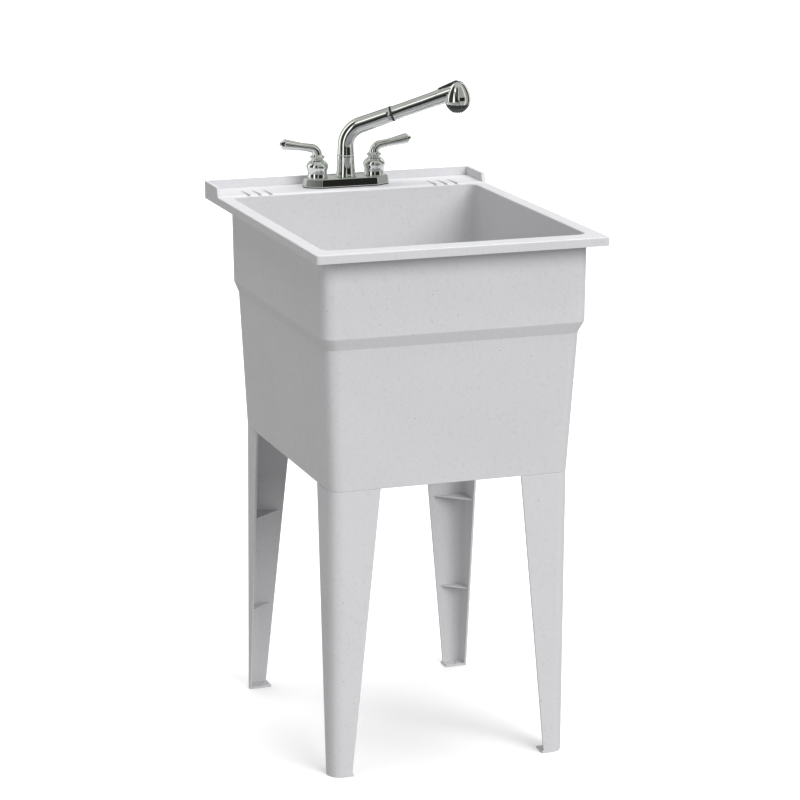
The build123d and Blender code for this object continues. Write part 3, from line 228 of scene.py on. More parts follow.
class Shading:
    """The nodes of a material or a world."""

    def __init__(self, owner):
        owner.use_nodes = True
        self.nodes = owner.node_tree.nodes
        self.links = owner.node_tree.links

    def feed(self, socket, value):
        """Link a socket or set it; None leaves it as it is."""
        if isinstance(value, Value):
            self.links.new(value.socket, socket)
        elif value is not None:
            socket.default_value = value

    def node(self, kind, settings, sockets, output=0):
        """Make a node, set it, feed its sockets and give one of its outputs."""
        made = self.nodes.new(kind)
        for setting, value in settings.items():
            if setting == "stops":
                self.set_stops(made.color_ramp, value)
            else:
                setattr(made, setting, value)
        for key, value in sockets.items():
            self.feed(made.inputs[key], value)
        return Value(self, made.outputs[output])

    def set_stops(self, ramp, stops):
        """Give a new ramp, which has two stops already, its places and colours."""
        for place, _ in stops[2:]:
            ramp.elements.new(place)
        for stop, (place, colour) in zip(ramp.elements, stops):
            stop.position, stop.color = place, colour

    def between(self, value, span, to=(0.0, 1.0)):
        """Carry a value over from one span to another, and no further than its ends."""
        return self.node("ShaderNodeMapRange", {}, {
            "Value": value, "From Min": span[0], "From Max": span[1],
            "To Min": to[0], "To Max": to[1]})

    def inside(self, value, span):
        """1 where a value lies in a span, and 0 elsewhere."""
        return (value > span[0]) * (value < span[1])

    def mixed(self, share, first, second):
        """A colour between two colours."""
        return self.node("ShaderNodeMix", {"data_type": "RGBA"}, {0: share, 6: first, 7: second}, 2)

    def split(self, vector):
        """The three parts of a vector."""
        x = self.node("ShaderNodeSeparateXYZ", {}, {0: vector}, "X")
        return x, x.sibling("Y"), x.sibling("Z")


class Finish(Shading):
    """One material: patterns on the object's own coordinates feed one shader."""

    def __init__(self, name, **constants):
        self.material = bpy.data.materials.new(name)
        super().__init__(self.material)
        self.shader = self.nodes["Principled BSDF"]
        for socket, value in constants.items():
            self.shader.inputs[socket.replace("_", " ")].default_value = value
        self.place = self.node("ShaderNodeTexCoord", {}, {}, "Object")

    def mapped(self, **mapping):
        """The object's coordinates, moved or scaled."""
        return self.node("ShaderNodeMapping", {}, {"Vector": self.place, **mapping})

    def noise(self, scale, detail=2.0, roughness=0.5, place=None):
        return self.node("ShaderNodeTexNoise", {}, {
            "Vector": place or self.place, "Scale": scale, "Detail": detail,
            "Roughness": roughness})

    def specks(self, scale, size):
        """Sparse round dots, one in a cell at most, of mixed sizes."""
        distance = self.node("ShaderNodeTexVoronoi", {}, {
            "Vector": self.place, "Scale": scale}, "Distance")
        chance = self.node("ShaderNodeSeparateColor", {}, {0: distance.sibling("Color")}, "Red")
        return distance < self.between(chance, (EMPTY_CELLS, 1.0), to=(0.0, size))

    def paint(self, colour, roughness=None):
        self.feed(self.shader.inputs["Base Color"], colour)
        self.feed(self.shader.inputs["Roughness"], roughness)

    def bump(self, height, strength, distance):
        normal = self.node("ShaderNodeBump", {}, {
            "Height": height, "Strength": strength, "Distance": distance})
        self.feed(self.shader.inputs["Normal"], normal)


# ---- materials ---------------------------------------------------------------
# Which of a noise's values a pattern spreads over.
NEARLY_ALL = (0.3, 0.7)
ALL_BUT_LOW = (0.35, 0.7)
ALL_BUT_LOW_FAR = (0.35, 0.75)
PEAKS = (0.54, 0.72)

# How much each pattern of the plastic shows, and the tone of its clouds.
GRAIN_SHARE = 0.10
SMALL_SPECK_SHARE = 0.22
CLOUD_TONE = 1.03

# Wipe marks on the plating: their share, their tone and what they add to its roughness.
WIPE_SHARE = 0.35
WIPE_TONE = 0.86
WIPE_ROUGHNESS = 0.05

# The two tones of each bare metal.
STEEL_TONES = ((0.62, 0.63, 0.62), (0.48, 0.49, 0.49))
BRASS_TONES = ((0.60, 0.40, 0.16), (0.45, 0.29, 0.12))
ZINC_TONES = ((0.58, 0.60, 0.62), (0.42, 0.43, 0.43))

# How far the roughness of a dull finish strays either way.
DULL_SPREAD = 0.06


def speckled_plastic():
    """Pale moulded polypropylene with dark granules, soft flecks, a faint grain and painted shade
    in the dish grooves.
    """
    look = bpy.context.scene.sink_moulding
    finish = Finish("speckled_plastic", Specular_IOR_Level=0.4)
    clouds = finish.between(finish.noise(9.0, detail=3.0), NEARLY_ALL)
    flecks = finish.noise(190.0, roughness=0.6)
    grain = finish.noise(1400.0, detail=1.0)
    colour = finish.mixed(clouds, opaque(look.plastic), opaque(look.plastic, tone=CLOUD_TONE))
    for share in (
            finish.between(flecks, PEAKS, to=(0.0, look.fleck_strength)),
            finish.between(grain, ALL_BUT_LOW_FAR, to=(0.0, GRAIN_SHARE)),
            finish.specks(260.0, size=0.17) * SMALL_SPECK_SHARE,
            finish.specks(95.0, size=0.11) * look.speck_strength):
        colour = finish.mixed(share, colour, opaque(look.specks))

    # Painted shade: the soap-dish grooves are darkened towards a grey, in place of the shade that
    # falls in them.
    x, y, z = finish.split(finish.place)
    aside = finish.node("ShaderNodeMath", {"operation": "ABSOLUTE"}, {0: x})
    groove = (finish.inside(aside, GROOVE_X) * finish.inside(y, GROOVE_Y)
              * finish.inside(z, GROOVE_Z))
    rough = finish.between(finish.noise(60.0, detail=3.0), NEARLY_ALL,
                           to=(look.roughness - 0.05, look.roughness + 0.07))
    finish.paint(finish.mixed(groove * look.groove_shade, colour, grey(GROOVE_SHADE_GREY)), rough)
    finish.bump(finish.noise(900.0) * 0.6 + finish.noise(45.0) * 0.4,
                strength=0.12, distance=0.4 * MM)
    return finish.material


def chrome():
    """Bright plating with faint wipe marks."""
    look = bpy.context.scene.sink_faucet
    finish = Finish("chrome", Metallic=1.0)
    stretched = finish.mapped(Scale=(60.0, 60.0, 14.0))
    wipes = finish.noise(1.0, detail=4.0, roughness=0.6, place=stretched)
    veil = finish.between(wipes, ALL_BUT_LOW_FAR)
    wiped = opaque(look.chrome, tone=WIPE_TONE)
    finish.paint(finish.mixed(veil * WIPE_SHARE, opaque(look.chrome), wiped),
                 veil * WIPE_ROUGHNESS + look.chrome_roughness)
    finish.bump(finish.noise(220.0), strength=0.02, distance=0.2 * MM)
    return finish.material


def stainless():
    """Spun steel with fine rings about the drain."""
    finish = Finish("stainless", Metallic=1.0)
    low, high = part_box("drain_strainer")
    centred = finish.mapped(Location=(0.0, -(low.y + high.y) / 2, 0.0))
    rings = finish.node("ShaderNodeTexWave", {"wave_type": "RINGS", "rings_direction": "Z"}, {
        "Vector": centred, "Scale": 260.0, "Distortion": 0.8, "Detail": 3.0,
        "Detail Scale": 2.0}, "Fac")
    finish.paint(finish.mixed(rings * 0.25, *map(opaque, STEEL_TONES)),
                 finish.between(rings, (0.0, 1.0), to=(0.2, 0.34)))
    finish.bump(rings, strength=0.05, distance=0.2 * MM)
    return finish.material


def cast_brass():
    """Tumbled brass casting."""
    finish = Finish("brass_cast", Metallic=1.0)
    grain = finish.noise(420.0, detail=4.0, roughness=0.65)
    finish.paint(finish.mixed(finish.between(grain, ALL_BUT_LOW), *map(opaque, BRASS_TONES)),
                 finish.between(grain, NEARLY_ALL, to=(0.28, 0.46)))
    finish.bump(grain, strength=0.25, distance=0.3 * MM)
    return finish.material


def zinc_steel():
    """Zinc-plated steel with a mottled bloom."""
    finish = Finish("screw_steel", Metallic=1.0)
    bloom = finish.between(finish.noise(300.0, detail=3.0), ALL_BUT_LOW)
    finish.paint(finish.mixed(bloom, *map(opaque, ZINC_TONES)), bloom * 0.15 + 0.25)
    finish.bump(bloom, strength=0.08, distance=0.2 * MM)
    return finish.material


def dull(name, colour, tone, roughness, scale, depth):
    """Unplated plastic, rubber or fibre: a two-tone grain over a matt surface."""
    finish = Finish(name)
    grain = finish.noise(scale, detail=3.0, roughness=0.6)
    patches = finish.between(grain, ALL_BUT_LOW)
    rough = (roughness - DULL_SPREAD, roughness + DULL_SPREAD)
    finish.paint(finish.mixed(patches, opaque(colour), opaque(colour, tone)),
                 finish.between(grain, NEARLY_ALL, to=rough))
    finish.bump(grain, strength=depth, distance=0.3 * MM)
    return finish.material


FINISHES = {
    "speckled_plastic": speckled_plastic,
    "chrome": chrome,
    "stainless": stainless,
    "brass_cast": cast_brass,
    "screw_steel": zinc_steel,
}

# Colour, tone of its patches, roughness, grains in a metre and depth of the grain.
DULL_FINISHES = {
    "black_plastic": ((0.018, 0.018, 0.020), 1.7, 0.32, 500.0, 0.10),
    "black_rubber": ((0.028, 0.028, 0.028), 1.5, 0.62, 350.0, 0.20),
    "spray_rubber": ((0.085, 0.09, 0.09), 0.8, 0.55, 420.0, 0.15),
    "nylon_white": ((0.72, 0.72, 0.69), 0.94, 0.42, 300.0, 0.08),
    "fibre": ((0.34, 0.18, 0.11), 0.7, 0.75, 700.0, 0.30),
}


def finish_of(slot):
    """The material of a slot, made the first time that it is asked for."""
    known = bpy.data.materials.get("dressed_" + slot)
    if known:
        return known
    made = FINISHES[slot]() if slot in FINISHES else dull(slot, *DULL_FINISHES[slot])
    made.name = "dressed_" + slot
    return made


# ---- modelling by operators --------------------------------------------------
WELD = 0.002 * MM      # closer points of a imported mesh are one
SEAM = 0.001 * MM      # closer points of a lever are one
SLIVER = 0.02 * MM     # shorter edges are dissolved
FLAT_ANGLE = 0.2       # degrees between faces that make one flat
EASE_STEPS = 3         # rows of a smooth profile for each given one

# Degrees between two faces, beyond which the edge between them shows.
FOLD_ANGLE = 14        # on the tub and the legs
RUBBER_ANGLE = 30      # on the stopper
PLATED_ANGLE = 40      # on the faucet and the drain
BLACK_ANGLE = 50       # on the mouth's ring and the control

# How much large faces count, of 100, where the shading of flats is evened out, and the least cosine
# between a face and the shading at its corners that passes.
MOULDED_WEIGHT = 80
TURNED_WEIGHT = 60
LEAST_COSINE = 0.85


def deselect():
    bpy.ops.object.select_all(action="DESELECT")


def take(piece):
    """Make a piece the one that operators act on."""
    deselect()
    piece.select_set(True)
    bpy.context.view_layer.objects.active = piece


def edit(piece):
    """Open a piece's mesh for editing."""
    take(piece)
    bpy.ops.object.mode_set(mode="EDIT")


def close():
    """Back from editing a mesh."""
    bpy.ops.object.mode_set(mode="OBJECT")


def apply_place(piece):
    """Put a piece's place, turn and scale into its mesh."""
    take(piece)
    bpy.ops.object.transform_apply(location=True, rotation=True, scale=True)


def settle(piece, name, body, slot, *nodes):
    """Finish a piece: it gets its name, body and finish, and stands for its nodes."""
    apply_place(piece)
    piece.name = piece.data.name = name
    piece.data.materials.clear()
    piece.data.materials.append(finish_of(slot))
    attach(piece, body)
    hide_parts(*nodes)


def modify(piece, kind, **settings):
    """Add a modifier, set it and apply it."""
    take(piece)
    modifier = piece.modifiers.new(kind.title(), kind)
    for setting, value in settings.items():
        setattr(modifier, setting, value)
    bpy.ops.object.modifier_apply(modifier=modifier.name)


def smooth(piece, angle=PLATED_ANGLE):
    """Shade a piece smooth, but for edges sharper than an angle."""
    take(piece)
    bpy.ops.object.shade_smooth_by_angle(angle=radians(angle))


def even_flats(piece, weight=TURNED_WEIGHT):
    """Shade large flats evenly, at the cost of the small faces beside them."""
    modify(piece, "WEIGHTED_NORMAL", weight=weight, keep_sharp=True)


def keep_flats(piece):
    """Shade a moulding's flats evenly, and flat where a sliver's shading strays from its face."""
    even_flats(piece, MOULDED_WEIGHT)
    normals = piece.data.corner_normals
    stray = [face for face in piece.data.polygons
             if any(normals[k].vector.dot(face.normal) < LEAST_COSINE for k in face.loop_indices)]
    for face in stray:
        face.use_smooth = False
    if stray:
        bpy.ops.mesh.customdata_custom_splitnormals_clear()
        even_flats(piece, MOULDED_WEIGHT)


def copied(node):
    """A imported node's surface as a new mesh, its loose triangles joined and flats made whole."""
    source = frame["nodes"][node]
    piece = bpy.data.objects.new(node + "_copy", source.data.copy())
    bpy.context.scene.collection.objects.link(piece)
    edit(piece)
    bpy.ops.mesh.select_all(action="SELECT")
    bpy.ops.mesh.remove_doubles(threshold=WELD)
    bpy.ops.mesh.dissolve_limited(angle_limit=radians(FLAT_ANGLE))
    bpy.ops.mesh.dissolve_degenerate(threshold=SLIVER)
    close()
    return piece


def moulding(node, name, plain_above=inf):
    """A moulded piece: its folds are rounded off, up to a height, and its flats stay flat."""
    look = bpy.context.scene.sink_moulding
    piece = copied(node)
    edit(piece)
    bpy.ops.mesh.select_mode(type="EDGE")
    bpy.ops.mesh.select_all(action="DESELECT")
    bpy.ops.mesh.edges_select_sharp(sharpness=radians(FOLD_ANGLE))
    close()
    for part in (*piece.data.vertices, *piece.data.polygons):
        part.select = False
    for edge in piece.data.edges:
        start, end = (piece.data.vertices[k].co for k in edge.vertices)
        low = max(start.z, end.z) <= plain_above
        long = (start - end).length > 2 * look.edge_round
        edge.select = edge.select and low and long
    edit(piece)
    bpy.ops.mesh.bevel(offset=look.edge_round, segments=look.edge_steps, affect="EDGES",
                       clamp_overlap=False)
    bpy.ops.mesh.select_mode(type="VERT")
    close()
    smooth(piece, FOLD_ANGLE)
    keep_flats(piece)
    settle(piece, name, "sink", "speckled_plastic", node)


def metres(rows, start=0.0):
    """Profile rows in metres from rows in millimetres, the first number counted from a start."""
    return [(start + along * MM, radius * MM) for along, radius in rows]


def blended(start, end, share):
    return start + (end - start) * share


def shares(count):
    """Even steps up to 1."""
    return [k / count for k in range(1, count + 1)]


def eased(points):
    """Rows on a smooth curve through the given ones."""
    ends = [points[0], *points, points[-1]]
    rows = []
    for group in zip(ends, ends[1:], ends[2:], ends[3:]):
        for k in range(EASE_STEPS):
            rows.append(tuple(on_curve(k / EASE_STEPS, *numbers) for numbers in zip(*group)))
    return rows + [points[-1]]


def on_curve(share, before, start, end, after):
    """A number part of the way from start to end, on a smooth curve through all four."""
    slope = end - before
    bend = 2 * before - 5 * start + 4 * end - after
    twist = 3 * start - before - 3 * end + after
    return 0.5 * (2 * start + slope * share + bend * share ** 2 + twist * share ** 3)


def drawn(stations, sides, at=(0.0, 0.0)):
    """A closed form drawn out ring by ring, each given as x, z, heading from upright and radius."""
    deselect()
    x, z, heading, radius = stations[0]
    bpy.ops.mesh.primitive_circle_add(
        vertices=sides, radius=radius, location=(x, 0, z), rotation=(0, heading, 0))
    piece = bpy.context.object
    bpy.ops.object.transform_apply(location=True, rotation=True)
    edit(piece)
    bpy.ops.mesh.select_all(action="SELECT")
    for next_x, next_z, next_heading, next_radius in stations[1:]:
        centre = (next_x, 0, next_z)
        turn, growth = next_heading - heading, next_radius / radius
        bpy.ops.mesh.extrude_region_move(
            TRANSFORM_OT_translate={"value": (next_x - x, 0, next_z - z)})
        if turn:
            bpy.ops.transform.rotate(value=-turn, orient_axis="Y", center_override=centre)
        if growth != 1:
            bpy.ops.transform.resize(value=(growth, growth, growth), center_override=centre)
        x, z, heading, radius = next_x, next_z, next_heading, next_radius
    bpy.ops.mesh.select_all(action="SELECT")
    bpy.ops.mesh.fill_holes(sides=0)
    bpy.ops.mesh.normals_make_consistent(inside=False)
    close()
    piece.location = (*at, 0)
    return piece


def turned(rows, at):
    """A round upright form from (height, radius) rows."""
    return drawn([(0.0, z, 0.0, radius) for z, radius in rows], sides=72, at=at)


# ---- operators ---------------------------------------------------------------
class Step(bpy.types.Operator):
    """Base of the operators that make one group of pieces."""

    bl_options = {"REGISTER", "UNDO"}


# Above this height the tub keeps the edges that it has.
TUB_PLAIN_ABOVE = DECK_TOP - 20 * MM


class SINK_OT_tub(Step):
    """Dress the one-piece tub"""

    bl_idname = "sink.tub"
    bl_label = "Tub"

    def execute(self, context):
        moulding("tub_basin", "tub_moulding", plain_above=TUB_PLAIN_ABOVE)
        return {"FINISHED"}


class SINK_OT_legs(Step):
    """Dress the four tapered legs"""

    bl_idname = "sink.legs"
    bl_label = "Legs"

    def execute(self, context):
        for corner in ("front_left", "front_right", "rear_left", "rear_right"):
            moulding("leg_" + corner, "leg_moulding_" + corner)
        return {"FINISHED"}


BASE_EDGE = 1.3 * MM
BASE_EDGE_STEPS = 4
BASE_FOLD_ANGLE = 20
FACING_UP = 0.9    # least upward part of the normal of a face that faces up


class SINK_OT_faucet_base(Step):
    """Model the faceted cover plate under the faucet"""

    bl_idname = "sink.faucet_base"
    bl_label = "Faucet Base"

    def execute(self, context):
        look = context.scene.sink_faucet
        size = BASE_HIGH - BASE_LOW
        middle = (BASE_LOW + BASE_HIGH) / 2
        deselect()
        bpy.ops.mesh.primitive_cube_add(size=1, location=middle, scale=size)
        piece = context.object
        bpy.ops.object.transform_apply(location=True, scale=True)
        edit(piece)
        bpy.ops.mesh.select_all(action="DESELECT")
        close()
        for face in piece.data.polygons:
            face.select = face.normal.z > FACING_UP
        edit(piece)
        lean = 2 * size.z * tan(look.base_draft)
        bpy.ops.transform.resize(
            value=(1 - lean / size.x, 1 - lean / size.y, 1),
            center_override=(middle.x, middle.y, BASE_TOP))
        self.cut_corners(look, size)
        close()
        modify(piece, "BEVEL", width=BASE_EDGE, segments=BASE_EDGE_STEPS, limit_method="ANGLE",
               angle_limit=radians(BASE_FOLD_ANGLE))
        smooth(piece)
        even_flats(piece)
        settle(piece, "base_cover", "sink", "chrome", "faucet_base")
        return {"FINISHED"}

    def cut_corners(self, look, size):
        """Cut the four corners off, on planes that lean as the sides do."""
        along, across = look.base_chamfer_x, look.base_chamfer_y
        lean = tan(look.base_draft) * Vector((along, across)).length
        for side in (-1, 1):
            for end in (-1, 1):
                bpy.ops.mesh.select_all(action="SELECT")
                bpy.ops.mesh.bisect(
                    plane_co=(side * (size.x / 2 - along), FAUCET_Y + end * size.y / 2, BASE_LOW.z),
                    plane_no=(side * across, end * along, lean),
                    use_fill=True, clear_outer=True)


# Profiles are (place, radius) rows in millimetres. A bonnet's places are heights above the base,
# and those of its bore count from its top.
BONNET = ((0.0, 16.6), (0.5, 17.25), (2.0, 17.25), (6.0, 16.85), (10.0, 16.65), (14.0, 17.3),
          (18.0, 18.7), (20.0, 19.0), (22.4, 18.6), (24.8, 17.2), (26.6, 15.6), (28.0, 14.1),
          (29.0, 13.1), (29.5, 12.2))
BONNET_BORE = ((0.0, 7.9), (-3.0, 7.7))


class SINK_OT_bonnets(Step):
    """Turn the two bell-shaped bonnets"""

    bl_idname = "sink.bonnets"
    bl_label = "Bonnets"

    def execute(self, context):
        rows = metres(eased(BONNET), BASE_TOP)
        rows += metres(BONNET_BORE, rows[-1][0])
        for name, side in (("hot", -1), ("cold", 1)):
            piece = turned(rows, (side * VALVE_X, FAUCET_Y))
            smooth(piece)
            settle(piece, "bonnet_" + name, "sink", "chrome", name + "_bonnet")
        return {"FINISHED"}


# Heights above the base, and in the collar's mouth from its top.
COLLAR = ((0.0, 17.0), (0.6, 17.6), (2.0, 17.55), (6.0, 16.6), (12.0, 15.7), (20.0, 15.2),
          (28.0, 14.95), (35.6, 14.9), (36.4, 14.5))
COLLAR_MOUTH = ((0.0, 13.9), (0.0, 12.6), (-4.0, 12.6))


class SINK_OT_collar(Step):
    """Turn the flared skirt at the spout's foot"""

    bl_idname = "sink.collar"
    bl_label = "Spout Collar"

    def execute(self, context):
        rows = metres(eased(COLLAR), BASE_TOP) + metres(COLLAR_MOUTH, COLLAR_TOP)
        piece = turned(rows, (0.0, FAUCET_Y))
        smooth(piece)
        settle(piece, "collar_skirt", "sink", "chrome", "spout_collar")
        return {"FINISHED"}


# Heights above the bonnet for the bore and the hub, and distances from the bend's corner for the
# blade. The hub's last row, the blade's first and its tip move with the bend and the reach.
LEVER_BORE = ((15.2, 4.3), (0.4, 4.3))
LEVER_HUB = ((0.4, 9.3), (0.9, 9.95), (2.4, 10.1), (4.2, 11.3), (5.4, 12.5), (6.4, 12.8),
             (7.3, 12.4), (8.4, 10.6), (9.3, 9.2))
LEVER_BLADE = ((18.0, 6.95), (26.0, 6.72), (36.0, 7.2), (46.0, 8.0), (54.0, 8.6), (58.0, 8.95),
               (59.6, 8.9), (61.0, 7.9), (63.0, 6.0), (65.2, 3.9), (66.8, 2.6), (67.6, 1.7))
LEVER_HUB_END = (0.6, 8.5)           # the hub's last row, above the bend's start
LEVER_BLADE_START = (2.0, 7.25)      # the blade's first row, beyond the bend's end
LEVER_TIP = 0.5                      # the blade's last radius, at its reach
LEVER_NECK = (8.4 * MM, 7.4 * MM)    # radius where the bend starts and where it ends
LEVER_BEND_STEPS = 12


class SINK_OT_levers(Step):
    """Draw out one lever handle, bead, bend and flared blade, and mirror it for the other"""

    bl_idname = "sink.levers"
    bl_label = "Lever Handles"

    def execute(self, context):
        hot = drawn(self.stations(context.scene.sink_faucet), sides=48)
        cold = bpy.data.objects.new("lever", hot.data.copy())
        context.scene.collection.objects.link(cold)
        cold.scale.x = -1
        for name, side, piece in (("hot", -1, hot), ("cold", 1, cold)):
            piece.location = (side * VALVE_X, FAUCET_Y, 0)
            apply_place(piece)
            edit(piece)
            bpy.ops.mesh.select_all(action="SELECT")
            bpy.ops.mesh.remove_doubles(threshold=SEAM)
            bpy.ops.mesh.normals_make_consistent(inside=False)
            close()
            smooth(piece)
            settle(piece, "lever_" + name, name + "_lever", "chrome", name + "_handle")
        return {"FINISHED"}

    def stations(self, look):
        """The hot lever's rings, from its bore up the hub, round the bend and out to the tip."""
        turn = radians(90) - look.lever_rise
        corner = look.lever_bend * tan(turn / 2)
        foot = look.lever_axis - corner
        tip = look.lever_reach / cos(look.lever_rise)
        above, hub_radius = LEVER_HUB_END
        beyond, blade_radius = LEVER_BLADE_START
        hub = eased((*LEVER_HUB, (foot / MM + above, hub_radius)))
        blade = eased(((corner / MM + beyond, blade_radius), *LEVER_BLADE, (tip / MM, LEVER_TIP)))
        rings = [(0.0, z, 0.0, radius) for z, radius in metres((*LEVER_BORE, *hub))]
        for share in shares(LEVER_BEND_STEPS):
            angle = turn * share
            rings.append((-look.lever_bend * (1 - cos(angle)), foot + look.lever_bend * sin(angle),
                          -angle, blended(*LEVER_NECK, share)))
        for along, radius in metres(blade):
            rings.append((-along * cos(look.lever_rise),
                          look.lever_axis + along * sin(look.lever_rise), -turn, radius))
        return [(x, z + BONNET_TOP, heading, radius) for x, z, heading, radius in rings]


# Heights above the riser's foot, and distances from the mouth for the socket that takes the wand.
SPOUT_FOOT = ((20.0, 12.25), (0.0, 12.25), (0.0, 14.1), (0.5, 14.6))
SPOUT_MOUTH = ((0.0, 12.7), (0.0, 10.8), (-50.0, 10.8), (-50.0, 9.5))
MOUTH_EDGE = 0.4 * MM
RISER = (14.6 * MM, 13.8 * MM)       # radius at its foot and at the bend
ARM = (13.8 * MM, 13.0 * MM)         # radius at the bend and at the mouth
RISER_STEPS, BEND_STEPS, ARM_STEPS = 4, 24, 8


class SINK_OT_spout(Step):
    """Draw out the bent spout tube with its hollow mouth"""

    bl_idname = "sink.spout"
    bl_label = "Spout"

    def execute(self, context):
        look = context.scene.sink_faucet
        piece = drawn(self.stations(look), sides=64)
        piece.rotation_euler = (0, 0, look.spout_turn)
        piece.location = (0, FAUCET_Y, 0)
        apply_place(piece)
        smooth(piece)
        settle(piece, "spout_bend", "spout", "chrome", "spout_tube")
        ring = copied("dock_ring")
        smooth(ring, BLACK_ANGLE)
        settle(ring, "mouth_ring", "spout", "black_plastic", "dock_ring")
        return {"FINISHED"}

    def stations(self, look):
        """The tube's rings, up the riser, round the bend and along the arm, before it is turned."""
        turn = radians(90) - look.arm_rise
        corner = look.bend_radius * tan(turn / 2)
        crossing = DECK_TOP + look.arm_height
        bend_foot = crossing - corner
        rings = [(0.0, z, 0.0, radius) for z, radius in metres(SPOUT_FOOT, RISER_FOOT)]
        for share in shares(RISER_STEPS):
            rings.append((0.0, blended(RISER_FOOT, bend_foot, share), 0.0, blended(*RISER, share)))
        for share in shares(BEND_STEPS):
            angle = turn * share
            rings.append((look.bend_radius * (1 - cos(angle)),
                          bend_foot + look.bend_radius * sin(angle), angle, ARM[0]))
        arm = [(blended(corner, look.arm_length - MOUTH_EDGE, share), blended(*ARM, share))
               for share in shares(ARM_STEPS)]
        for along, radius in arm + metres(SPOUT_MOUTH, look.arm_length):
            rings.append((along * cos(look.arm_rise), crossing + along * sin(look.arm_rise),
                          turn, radius))
        return rings


class SINK_OT_wand(Step):
    """Dress the pull-out wand, its head and its control"""

    bl_idname = "sink.wand"
    bl_label = "Spray Wand"

    def execute(self, context):
        for node, name, body, slot, angle in (
                ("wand_body", "wand_shell", "wand", "chrome", PLATED_ANGLE),
                ("spray_bezel", "head_bezel", "wand", "black_plastic", PLATED_ANGLE),
                ("spray_face", "nozzle_face", "wand", "spray_rubber", PLATED_ANGLE),
                ("spray_button", "control_bar", "selector", "black_plastic", BLACK_ANGLE)):
            piece = copied(node)
            smooth(piece, angle)
            settle(piece, name, body, slot, node)
        return {"FINISHED"}


class SINK_OT_drain(Step):
    """Dress the strainer, the tailpiece and its slip nut"""

    bl_idname = "sink.drain"
    bl_label = "Drain"

    def execute(self, context):
        for node, name, slot in (
                ("drain_strainer", "strainer_bowl", "stainless"),
                ("tailpiece", "tail_tube", "chrome"),
                ("slip_nut", "slip_nut_cap", "nylon_white")):
            piece = copied(node)
            smooth(piece)
            settle(piece, name, "sink", slot, node)
        return {"FINISHED"}


# Heights from the stopper's top, and how much wider it is there than its plug, neck or knob.
STOPPER_PLUG = ((-17.0, -0.3), (-16.6, 0.0), (-14.4, 0.0), (-14.0, -0.4))
STOPPER_NECK = ((-12.2, 1.2), (-11.2, 0.0), (-7.4, 0.0), (-6.6, 0.6))
STOPPER_KNOB = ((-4.2, -0.3), (-3.8, 0.0), (-2.2, 0.0), (-1.8, -0.3))
STOPPER_TAPER = 2 * MM


class SINK_OT_stopper(Step):
    """Turn the rubber stopper with its pull knob"""

    bl_idname = "sink.stopper"
    bl_label = "Stopper"

    def execute(self, context):
        low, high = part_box("drain_stopper")
        plug = (high.x - low.x) / 2
        knob = context.scene.sink_faucet.stopper_knob / 2
        neck = knob / 2
        rows = [(low.z, plug - STOPPER_TAPER)]
        for radius, part in ((plug, STOPPER_PLUG), (neck, STOPPER_NECK), (knob, STOPPER_KNOB)):
            rows += [(height, radius + wider) for height, wider in metres(part, high.z)]
        rows.append((high.z, neck))
        piece = turned(rows, (0.0, (low.y + high.y) / 2))
        smooth(piece, RUBBER_ANGLE)
        even_flats(piece)
        settle(piece, "stopper_plug", "stopper", "black_rubber", "drain_stopper")
        return {"FINISHED"}


class SINK_OT_hardware(Step):
    """Give the hidden hardware its finishes"""

    bl_idname = "sink.hardware"
    bl_label = "Hidden Hardware"

    def execute(self, context):
        for row in frame["record"]["subparts"]:
            piece = frame["nodes"][row["node"]]
            if not piece.hide_render:
                piece.data.materials.clear()
                piece.data.materials.append(finish_of(row["material_slot"]))
        return {"FINISHED"}


# ---- stage -------------------------------------------------------------------
# What bright metal mirrors, as (place, brightness). Places by height run from 0 below to 1 above,
# with the horizon at 0.5, and places by heading run once round from the back, the front at 0.5.
LEVEL_FRONT = ((0.0, 0.45), (0.10, 0.34), (0.30, 0.20), (0.38, 0.10), (0.42, 0.03), (0.62, 0.03),
               (0.70, 0.12), (0.78, 0.30), (0.815, 1.5), (0.86, 1.5), (0.885, 0.62), (1.0, 0.55))
LEVEL_BACK = ((0.0, 0.45), (0.20, 0.50), (0.36, 0.15), (0.50, 0.10), (0.60, 0.30), (0.85, 0.38),
              (1.0, 0.55))
UPRIGHT = ((0.0, 0.25), (0.03, 0.25), (0.045, 0.9), (0.07, 0.9), (0.085, 0.10), (0.11, 0.10),
           (0.12, 1.2), (0.20, 1.2), (0.22, 0.04), (0.325, 0.04), (0.335, 1.5), (0.366, 1.5),
           (0.374, 0.14), (0.386, 0.12), (0.392, 0.03), (0.445, 0.03), (0.462, 0.6), (0.48, 0.6),
           (0.49, 0.36), (0.62, 0.42), (0.65, 1.1), (0.68, 0.40), (0.74, 0.35), (0.755, 0.06),
           (0.80, 0.06), (0.815, 1.1), (0.86, 1.1), (0.875, 0.2), (0.94, 0.2), (0.95, 0.5),
           (1.0, 0.25))
# A dark line at the horizon, by height, and the headings that show it.
HORIZON = ((0.0, 1.0), (0.44, 1.0), (0.455, 0.05), (0.60, 0.05), (0.63, 1.0), (1.0, 1.0))
HORIZON_HEADINGS = ((0.0, 0.0), (0.485, 0.0), (0.50, 1.0), (0.62, 1.0), (0.66, 0.0), (1.0, 0.0))
# Where the upright bands show instead of the level ones, by height and by heading, and how much
# further round a heading counts at the top than at the bottom.
UPRIGHT_HEIGHTS = ((0.0, 0.0), (0.06, 0.0), (0.14, 1.0), (0.88, 1.0), (0.95, 0.0), (1.0, 0.0))
UPRIGHT_HEADINGS = ((0.0, 1.0), (0.523, 1.0), (0.535, 0.0), (0.585, 0.0), (0.60, 1.0), (1.0, 1.0))
UPRIGHT_LEAN = 0.25
BACK_BLEND = (-0.05, 0.05)    # where the front's level bands give way to the back's
BAND_TINT = (1.0, 1.015, 0.97)

